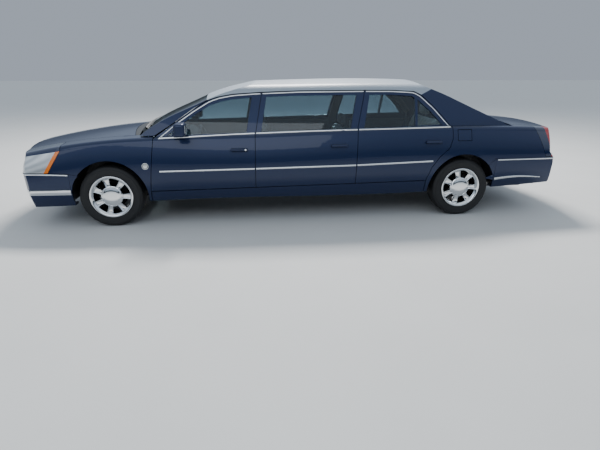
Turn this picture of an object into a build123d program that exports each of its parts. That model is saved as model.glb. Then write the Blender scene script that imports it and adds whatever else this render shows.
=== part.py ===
from build123d import *
import math
import os

os.makedirs("parts", exist_ok=True)

# Six-door stretched luxury sedan.
# X runs from nose to tail, Y to the right-hand side of the car, Z up from the ground.
# The origin is on the ground, half way along and half way across. Millimetres.

# Overall sizes
overall_length = 6416
front_overhang = 1050
wheelbase = 4079
nose_x = -overall_length / 2
front_axle_x = nose_x + front_overhang
rear_axle_x = front_axle_x + wheelbase

# Wheels and tyres
tyre_radius = 345
tyre_width = 235
bead_radius = 219
flange_radius = 235
rim_width = 205
track_half = 793
stub_radius = 32
hub_back = 45
hub_radius = 62
spoke_count = 7
spoke_width = 54
cap_radius = 96
brake_radius = 150

# Body walls and gaps
skin_wall = 24
frame_wall = 40
panel_gap = 6
half_gap = panel_gap / 2
inner_setback = 13
door_inner_y = 806
rub_clearance = 6
glass_depth = 9
glass_wall = 5
seat_gap = 0.3
arch_radius = 412
well_radius = 425
front_well_y = 480
rear_well_y = 655
sill_inner_y = 735
floor_top_z = 300
floor_wall = 26
lamp_depth = 34
recess_depth = 4

# Lower body, section by section along the car:
# x, sill y, sill z, widest y, widest z, shoulder y, shoulder z, crown z
body_sections = [
    (-3300, 800, 232, 880, 500, 780, 775, 820),
    (-2800, 845, 240, 925, 560, 855, 880, 930),
    (-2163, 868, 264, 944, 605, 884, 965, 1012),
    (-1600, 880, 285, 948, 615, 880, 992, 1066),
    (620, 882, 288, 950, 650, 874, 1045, 1106),
    (1916, 872, 315, 948, 668, 862, 1066, 1116),
    (2700, 850, 350, 925, 682, 822, 1048, 1088),
    (3300, 800, 385, 880, 692, 745, 1002, 1040),
]

# Plan of the nose and tail at several heights:
# z, nose x, nose corner x, nose corner y, nose side x, then the same for the tail
plan_sections = [
    (180, -3118, -3030, 640, -2700, 3100, 3030, 660, 2720),
    (390, -3194, -3104, 640, -2760, 3186, 3120, 680, 2800),
    (630, -3208, -3116, 640, -2780, 3208, 3140, 680, 2810),
    (700, -3190, -3096, 640, -2765, 3200, 3130, 680, 2800),
    (760, -3165, -3070, 640, -2740, 3128, 3070, 680, 2760),
    (1200, -3020, -2915, 640, -2600, 3040, 2985, 660, 2680),
]
plan_side_y = 1010

# Greenhouse, section by section: x, base y, rail y, rail z, crown z
house_base_z = 900
house_sections = [
    (-2000, 858, 585, 1440, 1500),
    (-1100, 878, 650, 1462, 1545),
    (300, 884, 668, 1478, 1583),
    (1400, 872, 656, 1474, 1573),
    (2000, 850, 618, 1450, 1535),
    (2800, 780, 520, 1400, 1480),
]
side_glass_bulge = 14

# Windscreen and rear window lines on the car's middle, x and z
screen_line = [(-1880, 1020), (-1543, 1214), (-1298, 1317), (-1000, 1438), (-650, 1530), (-300, 1600)]
backlight_line = [(2650, 1040), (2358, 1172), (2050, 1308), (1780, 1428), (1560, 1512), (1350, 1600)]
screen_centre_x = 1300
backlight_centre_x = -600

stub_end_y = track_half - hub_back - seat_gap


def body_block(inset=0.0):
    """Closed solid of the lower body, shrunk by inset, with its nose and tail."""
    with BuildPart() as plan:
        for z, n_x, nc_x, nc_y, ns_x, t_x, tc_x, tc_y, ts_x in plan_sections:
            side_y = plan_side_y
            with BuildSketch(Plane.XY.offset(z)):
                with BuildLine():
                    ThreePointArc((nc_x + inset, nc_y), (n_x + inset, 0), (nc_x + inset, -nc_y))
                    ThreePointArc((tc_x - inset, tc_y), (t_x - inset, 0), (tc_x - inset, -tc_y))
                    for side in (1, -1):
                        front_mid = ((nc_x + ns_x) / 2 - 75 + inset, side * (nc_y + side_y) / 2 + side * 75)
                        rear_mid = ((tc_x + ts_x) / 2 + 75 - inset, side * (tc_y + side_y) / 2 + side * 75)
                        ThreePointArc((nc_x + inset, side * nc_y), front_mid, (ns_x + inset, side * side_y))
                        ThreePointArc((tc_x - inset, side * tc_y), rear_mid, (ts_x - inset, side * side_y))
                        Line((ns_x + inset, side * side_y), (ts_x - inset, side * side_y))
                make_face()
        loft(ruled=True)
    with BuildPart() as block:
        for x, sill_y, sill_z, wide_y, wide_z, top_y, top_z, crown_z in body_sections:
            sill = (sill_y - inset, sill_z + inset)
            wide = (wide_y - inset, wide_z)
            below = (top_y + 14 - inset, top_z - 42)
            turn = (top_y - 4 - inset * 0.75, top_z - 10 - inset * 0.75)
            above = (top_y - 40 - inset * 0.6, top_z + 6 - inset)
            with BuildSketch(Plane.YZ.offset(x)):
                with BuildLine():
                    for side in (1, -1):
                        TangentArc((side * wide[0], wide[1]), (side * sill[0], sill[1]), tangent=(0, -1))
                        TangentArc((side * wide[0], wide[1]), (side * below[0], below[1]), tangent=(0, 1))
                        ThreePointArc(
                            (side * below[0], below[1]), (side * turn[0], turn[1]),
                            (side * above[0], above[1])
                        )
                    ThreePointArc(above, (0, crown_z - inset), (-above[0], above[1]))
                    Line(sill, (-sill[0], sill[1]))
                make_face()
        loft()
        add(plan.part, mode=Mode.INTERSECT)
    return block.part


def turned_block(line, centre_x, inset, edge_x):
    """Solid of revolution about an upright axis, bounded by a sloping window line."""
    with BuildPart() as block:
        with BuildSketch(Plane.XZ):
            with BuildLine():
                shifted = [(x + math.copysign(inset * 0.45, centre_x - x), z - inset * 0.9) for x, z in line]
                Spline(*shifted)
                Line(shifted[-1], (centre_x, shifted[-1][1]))
                Line((centre_x, shifted[-1][1]), (centre_x, 800))
                Line((centre_x, 800), (edge_x, 800))
                Line((edge_x, 800), shifted[0])
            make_face()
        revolve(axis=Axis((centre_x, 0, 0), (0, 0, 1)), revolution_arc=360)
    return block.part


def screen_block(inset):
    """Everything behind the windscreen's curved surface."""
    return turned_block(screen_line, screen_centre_x, inset, -2150)


def backlight_block(inset):
    """Everything ahead of the rear window's curved surface."""
    return turned_block(backlight_line, backlight_centre_x, inset, 2900)


def house_block(inset=0.0, screen_inset=None):
    """Closed solid of the greenhouse above the belt, shrunk by inset."""
    screen_inset = inset if screen_inset is None else screen_inset
    with BuildPart() as block:
        for x, base_y, rail_y, rail_z, crown_z in house_sections:
            base = (base_y - inset, house_base_z)
            rail = (rail_y - inset, rail_z)
            mid = ((base[0] + rail[0]) / 2 + side_glass_bulge, (base[1] + rail[1]) / 2)
            turn = (rail_y - 34 - inset * 0.85, rail_z + 40 - inset * 0.5)
            top = (rail_y - 120 - inset, rail_z + 66 - inset)
            with BuildSketch(Plane.YZ.offset(x)):
                with BuildLine():
                    for side in (1, -1):
                        ThreePointArc(
                            (side * base[0], base[1]), (side * mid[0], mid[1]), (side * rail[0], rail[1])
                        )
                        ThreePointArc(
                            (side * rail[0], rail[1]), (side * turn[0], turn[1]), (side * top[0], top[1])
                        )
                    ThreePointArc(top, (0, crown_z - inset), (-top[0], top[1]))
                    Line(base, (-base[0], base[1]))
                make_face()
        loft()
        add(screen_block(screen_inset), mode=Mode.INTERSECT)
        add(backlight_block(screen_inset), mode=Mode.INTERSECT)
    return block.part


def side_prism(points, near, far, grow=0.0):
    """Left-hand prism with a side-view outline, moved outwards by grow, between two distances."""
    with BuildPart() as prism:
        with BuildSketch(Plane.XZ.offset(near)):
            with BuildLine():
                Polyline(*points, close=True)
            make_face()
            if grow:
                offset(amount=grow, kind=Kind.INTERSECTION)
        extrude(amount=far - near)
    return prism.part


def block_between(x, y, z):
    """Box between pairs of coordinates."""
    with BuildPart() as box:
        with Locations(((x[0] + x[1]) / 2, (y[0] + y[1]) / 2, (z[0] + z[1]) / 2)):
            Box(x[1] - x[0], y[1] - y[0], z[1] - z[0])
    return box.part


def wheel_space(radius, front_near, rear_near):
    """Cylinders about all four wheels' axes, from a distance each side outwards."""
    with BuildPart() as space:
        for x, near in ((front_axle_x, front_near), (rear_axle_x, rear_near)):
            with BuildSketch(Plane.XZ.offset(near)):
                with Locations((x, tyre_radius)):
                    Circle(radius)
            extrude(amount=1100 - near)
        mirror(about=Plane.XZ)
    return space.part


def keep(name, piece):
    """Labels a finished piece and writes its file."""
    piece.part.label = name
    export_step(piece.part, f"parts/{name}.step")


def keep_both(name, left):
    """Writes a left-hand piece and its mirror image as two pieces."""
    keep(f"{name}_left", left)
    with BuildPart() as right:
        mirror(left.part, about=Plane.XZ)
    keep(f"{name}_right", right)


# Solids that the panels are cut from: the outer faces, the same faces one wall in, and so on
outer = body_block()
inner = body_block(skin_wall)
lamp_core = body_block(lamp_depth)
recess_core = body_block(recess_depth)
snug_inner = body_block(skin_wall + seat_gap)
snug_lamp = body_block(lamp_depth + seat_gap)
house = house_block()
with BuildPart() as skin:
    add(outer)
    add(inner, mode=Mode.SUBTRACT)
with BuildPart() as frame_side:
    add(house)
    add(house_block(frame_wall, -80), mode=Mode.SUBTRACT)
    add(block_between((-2000, 2800), (-1000, 0), (960, 1700)), mode=Mode.INTERSECT)
pillar_core = house_block(frame_wall + rub_clearance - seat_gap, -80)
glass_face = house_block(glass_depth, -80)
glass_core = house_block(glass_depth + glass_wall, -80)
screen_field = house_block(frame_wall + 6, -80)
arches = wheel_space(arch_radius, 400, 600)
wells = wheel_space(well_radius, front_well_y, rear_well_y)

# Doors in side view. The outline of each runs from its front lower corner, upwards and round.
front_door = [
    (-1716, 405), (-1650, 955), (-1640, 990), (-1386, 1156), (-1216, 1272), (-1050, 1368), (-938, 1404),
    (-771, 1432), (-447, 1452), (-537, 985), (-544, 700), (-546, 421),
]
middle_door = [
    (-546, 421), (-544, 700), (-537, 985), (-447, 1452), (-23, 1466), (739, 1470), (634, 1045),
    (618, 700), (612, 438),
]
rear_door = [
    (612, 438), (618, 700), (634, 1045), (739, 1470), (1062, 1468), (1325, 1454), (1412, 1412), (1568, 1276),
    (1760, 1068), (1762, 940), (1720, 830), (1610, 735), (1520, 610), (1466, 452),
]
front_glass = [
    (-1500, 1008), (-1370, 1104), (-1195, 1222), (-1035, 1314), (-925, 1352), (-771, 1382), (-560, 1399),
    (-634, 1028),
]
middle_glass = [(-468, 1032), (-396, 1406), (-23, 1416), (640, 1422), (554, 1056)]
rear_glass = [(712, 1060), (792, 1423), (1062, 1420), (1300, 1405), (1336, 1377), (1324, 1076)]
quarter_glass = [(1352, 1078), (1364, 1362), (1376, 1356), (1520, 1232), (1650, 1086)]
door_near = 480
door_far = 1020
door_core = block_between((-2100, 2100), (-door_inner_y, 0), (200, 1700))

# Doors: name, outline, panes, handle centre x and z, and the seam between shell and window frame
handle_length = 190
handle_height = 30
handle_near = 905
handle_far = 958
doors = [
    ("front_door", front_door, [front_glass], (-719, 855), [(-1720, 958), (-537, 985)]),
    ("middle_door", middle_door, [middle_glass], (412, 882), [(-537, 985), (634, 1045)]),
    ("rear_door", rear_door, [rear_glass, quarter_glass], (1522, 905), [(634, 1045), (1770, 1062)]),
]
for name, outline, panes, handle_place, seam in doors:
    with BuildPart() as shell:
        add(side_prism(outline, door_near, door_far, -half_gap))
        add(outer, mode=Mode.INTERSECT)
        add(inner, mode=Mode.SUBTRACT)
        add(door_core, mode=Mode.SUBTRACT)
    with BuildPart() as trim_side:
        add(side_prism(outline, door_near, door_far, -half_gap - inner_setback))
        add(outer, mode=Mode.INTERSECT)
        add(door_core, mode=Mode.SUBTRACT)
    with BuildPart() as window_frame:
        add(side_prism(outline, door_near, door_far, -half_gap))
        add(frame_side.part, mode=Mode.INTERSECT)
    with BuildPart() as handle:
        with BuildSketch(Plane.XZ.offset(handle_near)):
            with Locations(handle_place):
                RectangleRounded(handle_length, handle_height, 12)
        extrude(amount=handle_far - handle_near)
        chamfer(handle.faces().sort_by(Axis.Y)[0].edges(), 8)
    with BuildPart() as door:
        add(shell.part)
        add(trim_side.part)
        add(window_frame.part)
        add(handle.part)
        for pane in panes:
            add(side_prism(pane, door_near, door_far), mode=Mode.SUBTRACT)
        seam_top = [(x, z + seat_gap) for x, z in reversed(seam)]
        add(side_prism([*seam, *seam_top], door_near, door_far), mode=Mode.SUBTRACT)
    keep_both(name, door)
    with BuildPart() as glass:
        for pane in panes:
            add(side_prism(pane, door_near, door_far, -seat_gap))
        add(glass_face, mode=Mode.INTERSECT)
        add(glass_core, mode=Mode.SUBTRACT)
    keep_both(name.replace("door", "door_glass"), glass)

# Door mirrors
with BuildPart() as mirror_foot:
    with Locations((-1372, -895, 1030)):
        Box(110, 120, 40)
    chamfer(mirror_foot.edges().filter_by(Axis.Z), 10)
with BuildPart() as door_mirror:
    with Locations((-1330, -1015, 1092)):
        Box(118, 205, 142)
    fillet(door_mirror.edges(), 34)
    add(mirror_foot.part)
    add(outer, mode=Mode.SUBTRACT)
    add(house, mode=Mode.SUBTRACT)
keep_both("mirror", door_mirror)

# Bonnet and boot lid in plan
hood_front_x = -3098
hood_rear_x = -1945
hood_front_y = 612
hood_rear_y = 738
hood_low_z = 790


def hood_region(grow=0.0):
    """Upright prism over the bonnet, moved outwards by grow."""
    with BuildPart() as prism:
        with BuildSketch(Plane.XY.offset(hood_low_z)):
            with BuildLine():
                front = (hood_front_x + 62 - grow, hood_front_y + grow)
                rear = (hood_rear_x + 88 + grow, hood_rear_y + grow)
                ThreePointArc(front, (hood_front_x - grow, 0), (front[0], -front[1]))
                Line((front[0], -front[1]), (rear[0], -rear[1]))
                ThreePointArc((rear[0], -rear[1]), (hood_rear_x + grow, 0), rear)
                Line(rear, front)
            make_face()
        extrude(amount=400)
    return prism.part


boot_front_x = 2592
boot_front_y = 706
boot_rear_y = 676
boot_low_z = 752


def boot_region(grow=0.0):
    """Upright prism over the boot lid, moved outwards by grow."""
    with BuildPart() as prism:
        with BuildSketch(Plane.XY.offset(boot_low_z - grow)):
            with BuildLine():
                Polyline(
                    (boot_front_x, boot_front_y), (3400, boot_rear_y), (3400, -boot_rear_y),
                    (boot_front_x, -boot_front_y), close=True
                )
            make_face()
            if grow:
                offset(amount=grow, kind=Kind.INTERSECTION)
        extrude(amount=500)
    return prism.part


hood_void = hood_region(panel_gap)
boot_void = boot_region(panel_gap)
with BuildPart() as hood:
    add(skin.part)
    add(hood_region(), mode=Mode.INTERSECT)
keep("hood", hood)

# Boot lid, with a shallow recess for the number plate and its two holes
plate_width = 330
plate_height = 176
plate_z = 862
plate_hole_radius = 3.5
plate_hole_pitch = 178
with BuildPart() as plate_recess:
    with BuildSketch(Plane.YZ.offset(3000)):
        with Locations((0, plate_z)):
            RectangleRounded(plate_width, plate_height, 14)
    extrude(amount=400)
    add(recess_core, mode=Mode.SUBTRACT)
with BuildPart() as boot_lid:
    add(skin.part)
    add(boot_region(), mode=Mode.INTERSECT)
    add(plate_recess.part, mode=Mode.SUBTRACT)
    with BuildSketch(Plane.YZ.offset(3000)):
        with Locations((0, plate_z)):
            with GridLocations(plate_hole_pitch, 0, 2, 1):
                Circle(plate_hole_radius)
    extrude(amount=400, mode=Mode.SUBTRACT)
keep("boot_lid", boot_lid)

# Front end in side view
bumper_top_front_z = 628
bumper_top_rear_z = 616
front_bumper_rear_x = -2568
lamp_rear_top = (-2633, 868)
lamp_rear_low = (-2780, 634)
grille_half_width = 405
grille_low_z = 585
grille_high_z = 806
fascia_half_width = 446
trim_gap = 3
intake_half_width = 360
intake_low_z = 352
intake_high_z = 412

with BuildPart() as front_bumper_face:
    add(side_prism(
        [(-3400, 50), (-3400, bumper_top_front_z), (-2780, bumper_top_front_z),
         (front_bumper_rear_x, bumper_top_rear_z), (front_bumper_rear_x, 50)], 0, 1000
    ))
    add(side_prism([(-3400, 600), (-3400, 1000), (-2980, 1000), (-2980, 600)], 0, fascia_half_width))
    mirror(about=Plane.XZ)
with BuildPart() as front_bumper:
    add(skin.part)
    add(front_bumper_face.part, mode=Mode.INTERSECT)
    add(hood_void, mode=Mode.SUBTRACT)
    add(arches, mode=Mode.SUBTRACT)
    add(block_between((-3080, -2400), (-760, 760), (0, 700)), mode=Mode.SUBTRACT)
    with BuildSketch(Plane.YZ.offset(-3400)):
        with Locations((0, (grille_low_z + grille_high_z) / 2)):
            Rectangle(2 * grille_half_width, grille_high_z - grille_low_z)
        with Locations((0, (intake_low_z + intake_high_z) / 2)):
            RectangleRounded(2 * intake_half_width, intake_high_z - intake_low_z, 24)
    extrude(amount=500, mode=Mode.SUBTRACT)
keep("front_bumper", front_bumper)

# Grille: an egg-crate of upright and level bars that follows the nose
grille_rows = 6
grille_columns = 22
grille_bar = 6
grille_edge = 12
grille_pitch_y = (2 * grille_half_width - 2 * grille_edge) / grille_columns
grille_pitch_z = (grille_high_z - grille_low_z - 2 * grille_edge) / grille_rows
with BuildPart() as grille:
    with BuildSketch(Plane.YZ.offset(-3400)):
        with Locations((0, (grille_low_z + grille_high_z) / 2)):
            Rectangle(2 * grille_half_width - 2 * seat_gap, grille_high_z - grille_low_z - 2 * seat_gap)
    extrude(amount=500)
    add(recess_core, mode=Mode.INTERSECT)
    add(lamp_core, mode=Mode.SUBTRACT)
    with BuildSketch(Plane.YZ.offset(-3400)):
        with Locations((0, (grille_low_z + grille_high_z) / 2)):
            with GridLocations(grille_pitch_y, grille_pitch_z, grille_columns, grille_rows):
                Rectangle(grille_pitch_y - grille_bar, grille_pitch_z - grille_bar)
    extrude(amount=500, mode=Mode.SUBTRACT)
keep("grille", grille)

lamp_outline = [(-3400, 634), lamp_rear_low, lamp_rear_top, (-2640, 1000), (-3400, 1000)]
with BuildPart() as headlamps:
    add(side_prism(lamp_outline, fascia_half_width + trim_gap, 1000))
    mirror(about=Plane.XZ)
    add(outer, mode=Mode.INTERSECT)
    add(lamp_core, mode=Mode.SUBTRACT)
    add(hood_void, mode=Mode.SUBTRACT)
keep("headlamps", headlamps)

fender_outline = [
    (-2627, 868), (-2772, 634), (-2560, 622), (-2300, 560), (front_axle_x, tyre_radius), (-1760, 286),
    (-1722, 286),
    (-1719, 408), (-1653, 958), (-1643, 1100), (-2627, 1100),
]
cowl_half = 739
with BuildPart() as front_fender:
    add(skin.part)
    add(side_prism(fender_outline, 500, 1000), mode=Mode.INTERSECT)
    add(block_between((-2000, -1600), (-sill_inner_y, 0), (200, 600)), mode=Mode.SUBTRACT)
    add(hood_void, mode=Mode.SUBTRACT)
    add(arches, mode=Mode.SUBTRACT)
    add(block_between((-1990, -1600), (-cowl_half - trim_gap, 0), (900, 1200)), mode=Mode.SUBTRACT)
keep_both("front_fender", front_fender)

with BuildPart() as cowl_cut:
    add(skin.part)
    add(block_between((-1990, -1752), (-cowl_half, cowl_half), (900, 1200)), mode=Mode.INTERSECT)
    add(hood_void, mode=Mode.SUBTRACT)
    add(house, mode=Mode.SUBTRACT)
with BuildPart() as cowl:
    add(cowl_cut.part.solids().sort_by(SortBy.VOLUME)[-1])
keep("cowl", cowl)

# Pillars, roof and fixed glass
pillar_outline = [
    (-1640, 1008), (-1392, 1162), (-1221, 1279), (-1056, 1374), (-1140, 1480), (-2000, 1120), (-1900, 1008),
]
with BuildPart() as front_pillars:
    add(side_prism(pillar_outline, 400, 1000))
    add(house, mode=Mode.INTERSECT)
    add(pillar_core, mode=Mode.SUBTRACT)
    add(outer, mode=Mode.SUBTRACT)
    mirror(about=Plane.XZ)
keep("front_pillars", front_pillars)

roof_outline = [
    (-1056, 1374), (-938, 1410), (-771, 1438), (-447, 1458), (-23, 1472), (739, 1476), (1062, 1474),
    (1330, 1460),
    (1416, 1420), (1720, 1562), (1800, 1700), (-1200, 1700), (-1140, 1480),
]
with BuildPart() as roof:
    add(side_prism(roof_outline, -1000, 1000))
    add(house, mode=Mode.INTERSECT)
    add(house_block(skin_wall), mode=Mode.SUBTRACT)
keep("roof", roof)

screen_front = 3
screen_wall = 5
with BuildPart() as windscreen:
    add(screen_block(screen_front))
    add(screen_block(screen_front + screen_wall), mode=Mode.SUBTRACT)
    add(screen_field, mode=Mode.INTERSECT)
    add(side_prism([(-1056, 1374), (-1140, 1480), (-2100, 1120), (-2000, 1030), (-1640, 1030)], -1000, 1000),
        mode=Mode.INTERSECT)
    add(outer, mode=Mode.SUBTRACT)
keep("windscreen", windscreen)

with BuildPart() as rear_window:
    add(backlight_block(screen_front))
    add(backlight_block(screen_front + screen_wall), mode=Mode.SUBTRACT)
    add(screen_field, mode=Mode.INTERSECT)
    add(side_prism([(1722, 1562), (1500, 1400), (1500, 1000), (2584, 1000), (2584, 1562)], -1000, 1000),
        mode=Mode.INTERSECT)
    add(outer, mode=Mode.SUBTRACT)
keep("rear_window", rear_window)

# Rear quarters and tail
rear_bumper_top_z = 694
rear_bumper_front_x = 2320
lamp_top = (2806, 1080)
lamp_low = (2962, 704)
quarter_outline = [
    (1472, 300), (1469, 452), (1523, 608), (1613, 732), (1723, 827), (1765, 937), (1764, 1070), (1570, 1280),
    (1416, 1420), (1720, 1562), (1800, 1700), (3400, 1700), (3400, rear_bumper_top_z + trim_gap),
    (2310, rear_bumper_top_z + trim_gap), (rear_axle_x, tyre_radius), (1530, 300),
]
lamp_void_outline = [
    (lamp_top[0] - trim_gap, lamp_top[1]), (lamp_low[0] - trim_gap, lamp_low[1] - 6),
    (3400, lamp_low[1] - 6),
    (3400, 1203), (lamp_top[0] - trim_gap, 1203),
]
flap_outline = [(1822, 912), (1822, 1036), (1992, 1036), (1992, 912)]
quarter_face = side_prism(quarter_outline, 300, 1100)
with BuildPart() as sail:
    add(quarter_face)
    add(house, mode=Mode.INTERSECT)
    add(pillar_core, mode=Mode.SUBTRACT)
    add(block_between((-2000, 2800), (-1000, 0), (960, 1700)), mode=Mode.INTERSECT)
with BuildPart() as quarter_cut:
    add(skin.part)
    add(quarter_face, mode=Mode.INTERSECT)
    add(block_between((1400, 3300), (-sill_inner_y, 0), (200, 640)), mode=Mode.SUBTRACT)
    add(block_between((1500, 2556), (-792, 0), (1000, 1250)), mode=Mode.SUBTRACT)
    add(boot_void, mode=Mode.SUBTRACT)
    add(arches, mode=Mode.SUBTRACT)
    add(side_prism(lamp_void_outline, boot_rear_y + 15, 1000), mode=Mode.SUBTRACT)
    add(sail.part)
    add(side_prism(rear_door, door_near, door_far, half_gap), mode=Mode.SUBTRACT)
with BuildPart() as quarter:
    add(quarter_cut.part.solids().sort_by(SortBy.VOLUME)[-1])
with BuildPart() as quarter_panel_left:
    add(quarter.part)
    add(side_prism(flap_outline, 800, 1000, half_gap), mode=Mode.SUBTRACT)
keep("quarter_panel_left", quarter_panel_left)

# The right-hand panel has no fuel flap. It is built as two stampings joined above the wheel.
with BuildPart() as right_quarter:
    mirror(quarter.part, about=Plane.XZ)
with BuildPart() as right_tail:
    add(right_quarter.part)
    split(bisect_by=Plane.YZ.offset(1900), keep=Keep.TOP)
with BuildPart() as quarter_panel_right:
    add(right_quarter.part)
    split(bisect_by=Plane.YZ.offset(1900), keep=Keep.BOTTOM)
    add(right_tail.part, clean=False)
keep("quarter_panel_right", quarter_panel_right)

with BuildPart() as fuel_flap:
    add(skin.part)
    add(side_prism(flap_outline, 800, 1000, -half_gap), mode=Mode.INTERSECT)
keep("fuel_flap", fuel_flap)

with BuildPart() as tail_lamps:
    add(side_prism([lamp_top, lamp_low, (3400, lamp_low[1]), (3400, 1200), (lamp_top[0], 1200)],
                   boot_rear_y + 18, 1000))
    mirror(about=Plane.XZ)
    add(outer, mode=Mode.INTERSECT)
    add(lamp_core, mode=Mode.SUBTRACT)
    add(boot_void, mode=Mode.SUBTRACT)
keep("tail_lamps", tail_lamps)

with BuildPart() as rear_bumper:
    add(skin.part)
    add(block_between((rear_bumper_front_x, 3400), (-1000, 1000), (200, rear_bumper_top_z)),
        mode=Mode.INTERSECT)
    add(arches, mode=Mode.SUBTRACT)
    add(block_between((2200, 3090), (-770, 770), (200, 800)), mode=Mode.SUBTRACT)
keep("rear_bumper", rear_bumper)

# Floor, bulkheads and wheel liners
floor_half = sill_inner_y - 1
sill_outline = [(-1713, 200), (-1713, 399), (1463, 446), (1463, 200)]
sill_space = side_prism(sill_outline, sill_inner_y, 1000)
with BuildPart() as right_sill_space:
    mirror(sill_space, about=Plane.XZ)
axle_clearance = 60
firewall_x = -1690
dash_panel_wall = 24
cabin_rear_x = 2130
cabin_step_x = 1180
boot_floor_z = 470
boot_end_x = 3040
bulkhead_wall = 20
shelf_z = 1010
shelf_end_x = 2550
shelf_half = 680
tunnel_height = 50
liner_wall = 8
floor_line = [
    (firewall_x - dash_panel_wall, floor_top_z), (cabin_step_x, floor_top_z), (1290, 420), (1700, 430),
    (1800, boot_floor_z), (boot_end_x, boot_floor_z),
]
with BuildPart() as floor:
    with BuildSketch(Plane.XZ.offset(-floor_half)):
        with BuildLine():
            Polyline(*floor_line, *[(x, z - floor_wall) for x, z in reversed(floor_line)], close=True)
        make_face()
    extrude(amount=2 * floor_half)
    with BuildSketch(Plane.YZ.offset(firewall_x)):
        with BuildLine():
            Polyline(
                (-150, floor_top_z), (-115, floor_top_z + tunnel_height), (115, floor_top_z + tunnel_height),
                (150, floor_top_z), close=True
            )
        make_face()
    extrude(amount=cabin_step_x - firewall_x)
    with BuildSketch(Plane.YZ.offset(firewall_x)):
        with BuildLine():
            Polyline(
                (-135, floor_top_z - floor_wall), (-96, floor_top_z + tunnel_height - 16),
                (96, floor_top_z + tunnel_height - 16), (135, floor_top_z - floor_wall), close=True
            )
        make_face()
    extrude(amount=cabin_step_x - 60 - firewall_x, mode=Mode.SUBTRACT)
    add(wells, mode=Mode.SUBTRACT)
keep("floor", floor)

with BuildPart() as hinge_pillars:
    add(block_between((-1762, firewall_x), (-1000, 24 - floor_half), (floor_top_z, 984)))
    add(side_prism(front_door, 400, door_far, half_gap), mode=Mode.SUBTRACT)
    mirror(about=Plane.XZ)
    add(snug_inner, mode=Mode.INTERSECT)
with BuildPart() as firewall:
    with Locations((firewall_x - dash_panel_wall / 2, 0, (floor_top_z + 930) / 2)):
        Box(dash_panel_wall, 2 * floor_half, 930 - floor_top_z)
    add(hinge_pillars.part)
    add(sill_space, mode=Mode.SUBTRACT)
    add(right_sill_space.part, mode=Mode.SUBTRACT)
    add(wells, mode=Mode.SUBTRACT)
keep("firewall", firewall)

with BuildPart() as rear_bulkhead:
    add(block_between(
        (cabin_rear_x, cabin_rear_x + bulkhead_wall), (-floor_half, floor_half),
        (boot_floor_z, shelf_z + bulkhead_wall)
    ))
    add(block_between(
        (cabin_rear_x, shelf_end_x), (-shelf_half, shelf_half), (shelf_z, shelf_z + bulkhead_wall)
    ))
    add(wells, mode=Mode.SUBTRACT)
keep("rear_bulkhead", rear_bulkhead)

with BuildPart() as wheel_liners:
    add(wheel_space(well_radius + liner_wall, front_well_y - liner_wall, rear_well_y - liner_wall))
    add(block_between((-3000, 3000), (-1000, 1000), (floor_top_z, 1100)), mode=Mode.INTERSECT)
    add(snug_inner, mode=Mode.INTERSECT)
    add(wells, mode=Mode.SUBTRACT)
    add(firewall.part, mode=Mode.SUBTRACT)
    add(floor.part, mode=Mode.SUBTRACT)
    add(rear_bulkhead.part, mode=Mode.SUBTRACT)
    with BuildSketch(Plane.XZ.offset(-900)):
        with Locations((rear_axle_x, tyre_radius)):
            Circle(axle_clearance)
    extrude(amount=1800, mode=Mode.SUBTRACT)
keep("wheel_liners", wheel_liners)

# Front rails, aprons and the beam behind the front bumper
rail_y = 435
rail_half = 32
rail_z = 460
rail_height = 84
rail_front_x = -3064
apron_y = 753
with BuildPart() as front_structure:
    with Locations((0, rail_y, 0), (0, -rail_y, 0)):
        with Locations(((rail_front_x + firewall_x - dash_panel_wall - 2) / 2, 0, rail_z)):
            Box(firewall_x - dash_panel_wall - 2 - rail_front_x, 2 * rail_half, rail_height)
    with Locations((rail_front_x + 14, 0, rail_z)):
        Box(30, 1200, rail_height)
    for side in (-1, 1):
        with Locations((rail_front_x + 14, side * 570, 540)):
            Box(30, 60, 280)
        with Locations((rail_front_x + 14, side * 800, 750)):
            Box(30, 320, 220)
        with Locations((-2980, side * 651, 630)):
            Box(180, 222, 60)
        with Locations((-2802, side * apron_y, 870)):
            Box(525, 18, 460)
    add(snug_lamp, mode=Mode.INTERSECT)
    with Locations((-2182, apron_y, 940), (-2182, -apron_y, 940)):
        Box(836, 18, 320)
    with Locations((-3120, 0, rail_z)):
        Box(120, 1160, 110)
    with Locations((-3050, 0, rail_z)):
        Box(120, 940, 130, mode=Mode.SUBTRACT)
    add(snug_inner, mode=Mode.INTERSECT)
    with Locations((rail_front_x + 14, 0, rail_z)):
        Box(30, 1160, rail_height)
    add(hood_void, mode=Mode.SUBTRACT)
    add(wheel_liners.part, mode=Mode.SUBTRACT)
    add(wells, mode=Mode.SUBTRACT)
    add(firewall.part, mode=Mode.SUBTRACT)
keep("front_structure", front_structure)

# Sills and the inner frame of posts and roof rails
with BuildPart() as sills:
    add(sill_space)
    add(outer, mode=Mode.INTERSECT)
    add(arches, mode=Mode.SUBTRACT)
    mirror(about=Plane.XZ)
keep("sills", sills)

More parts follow.
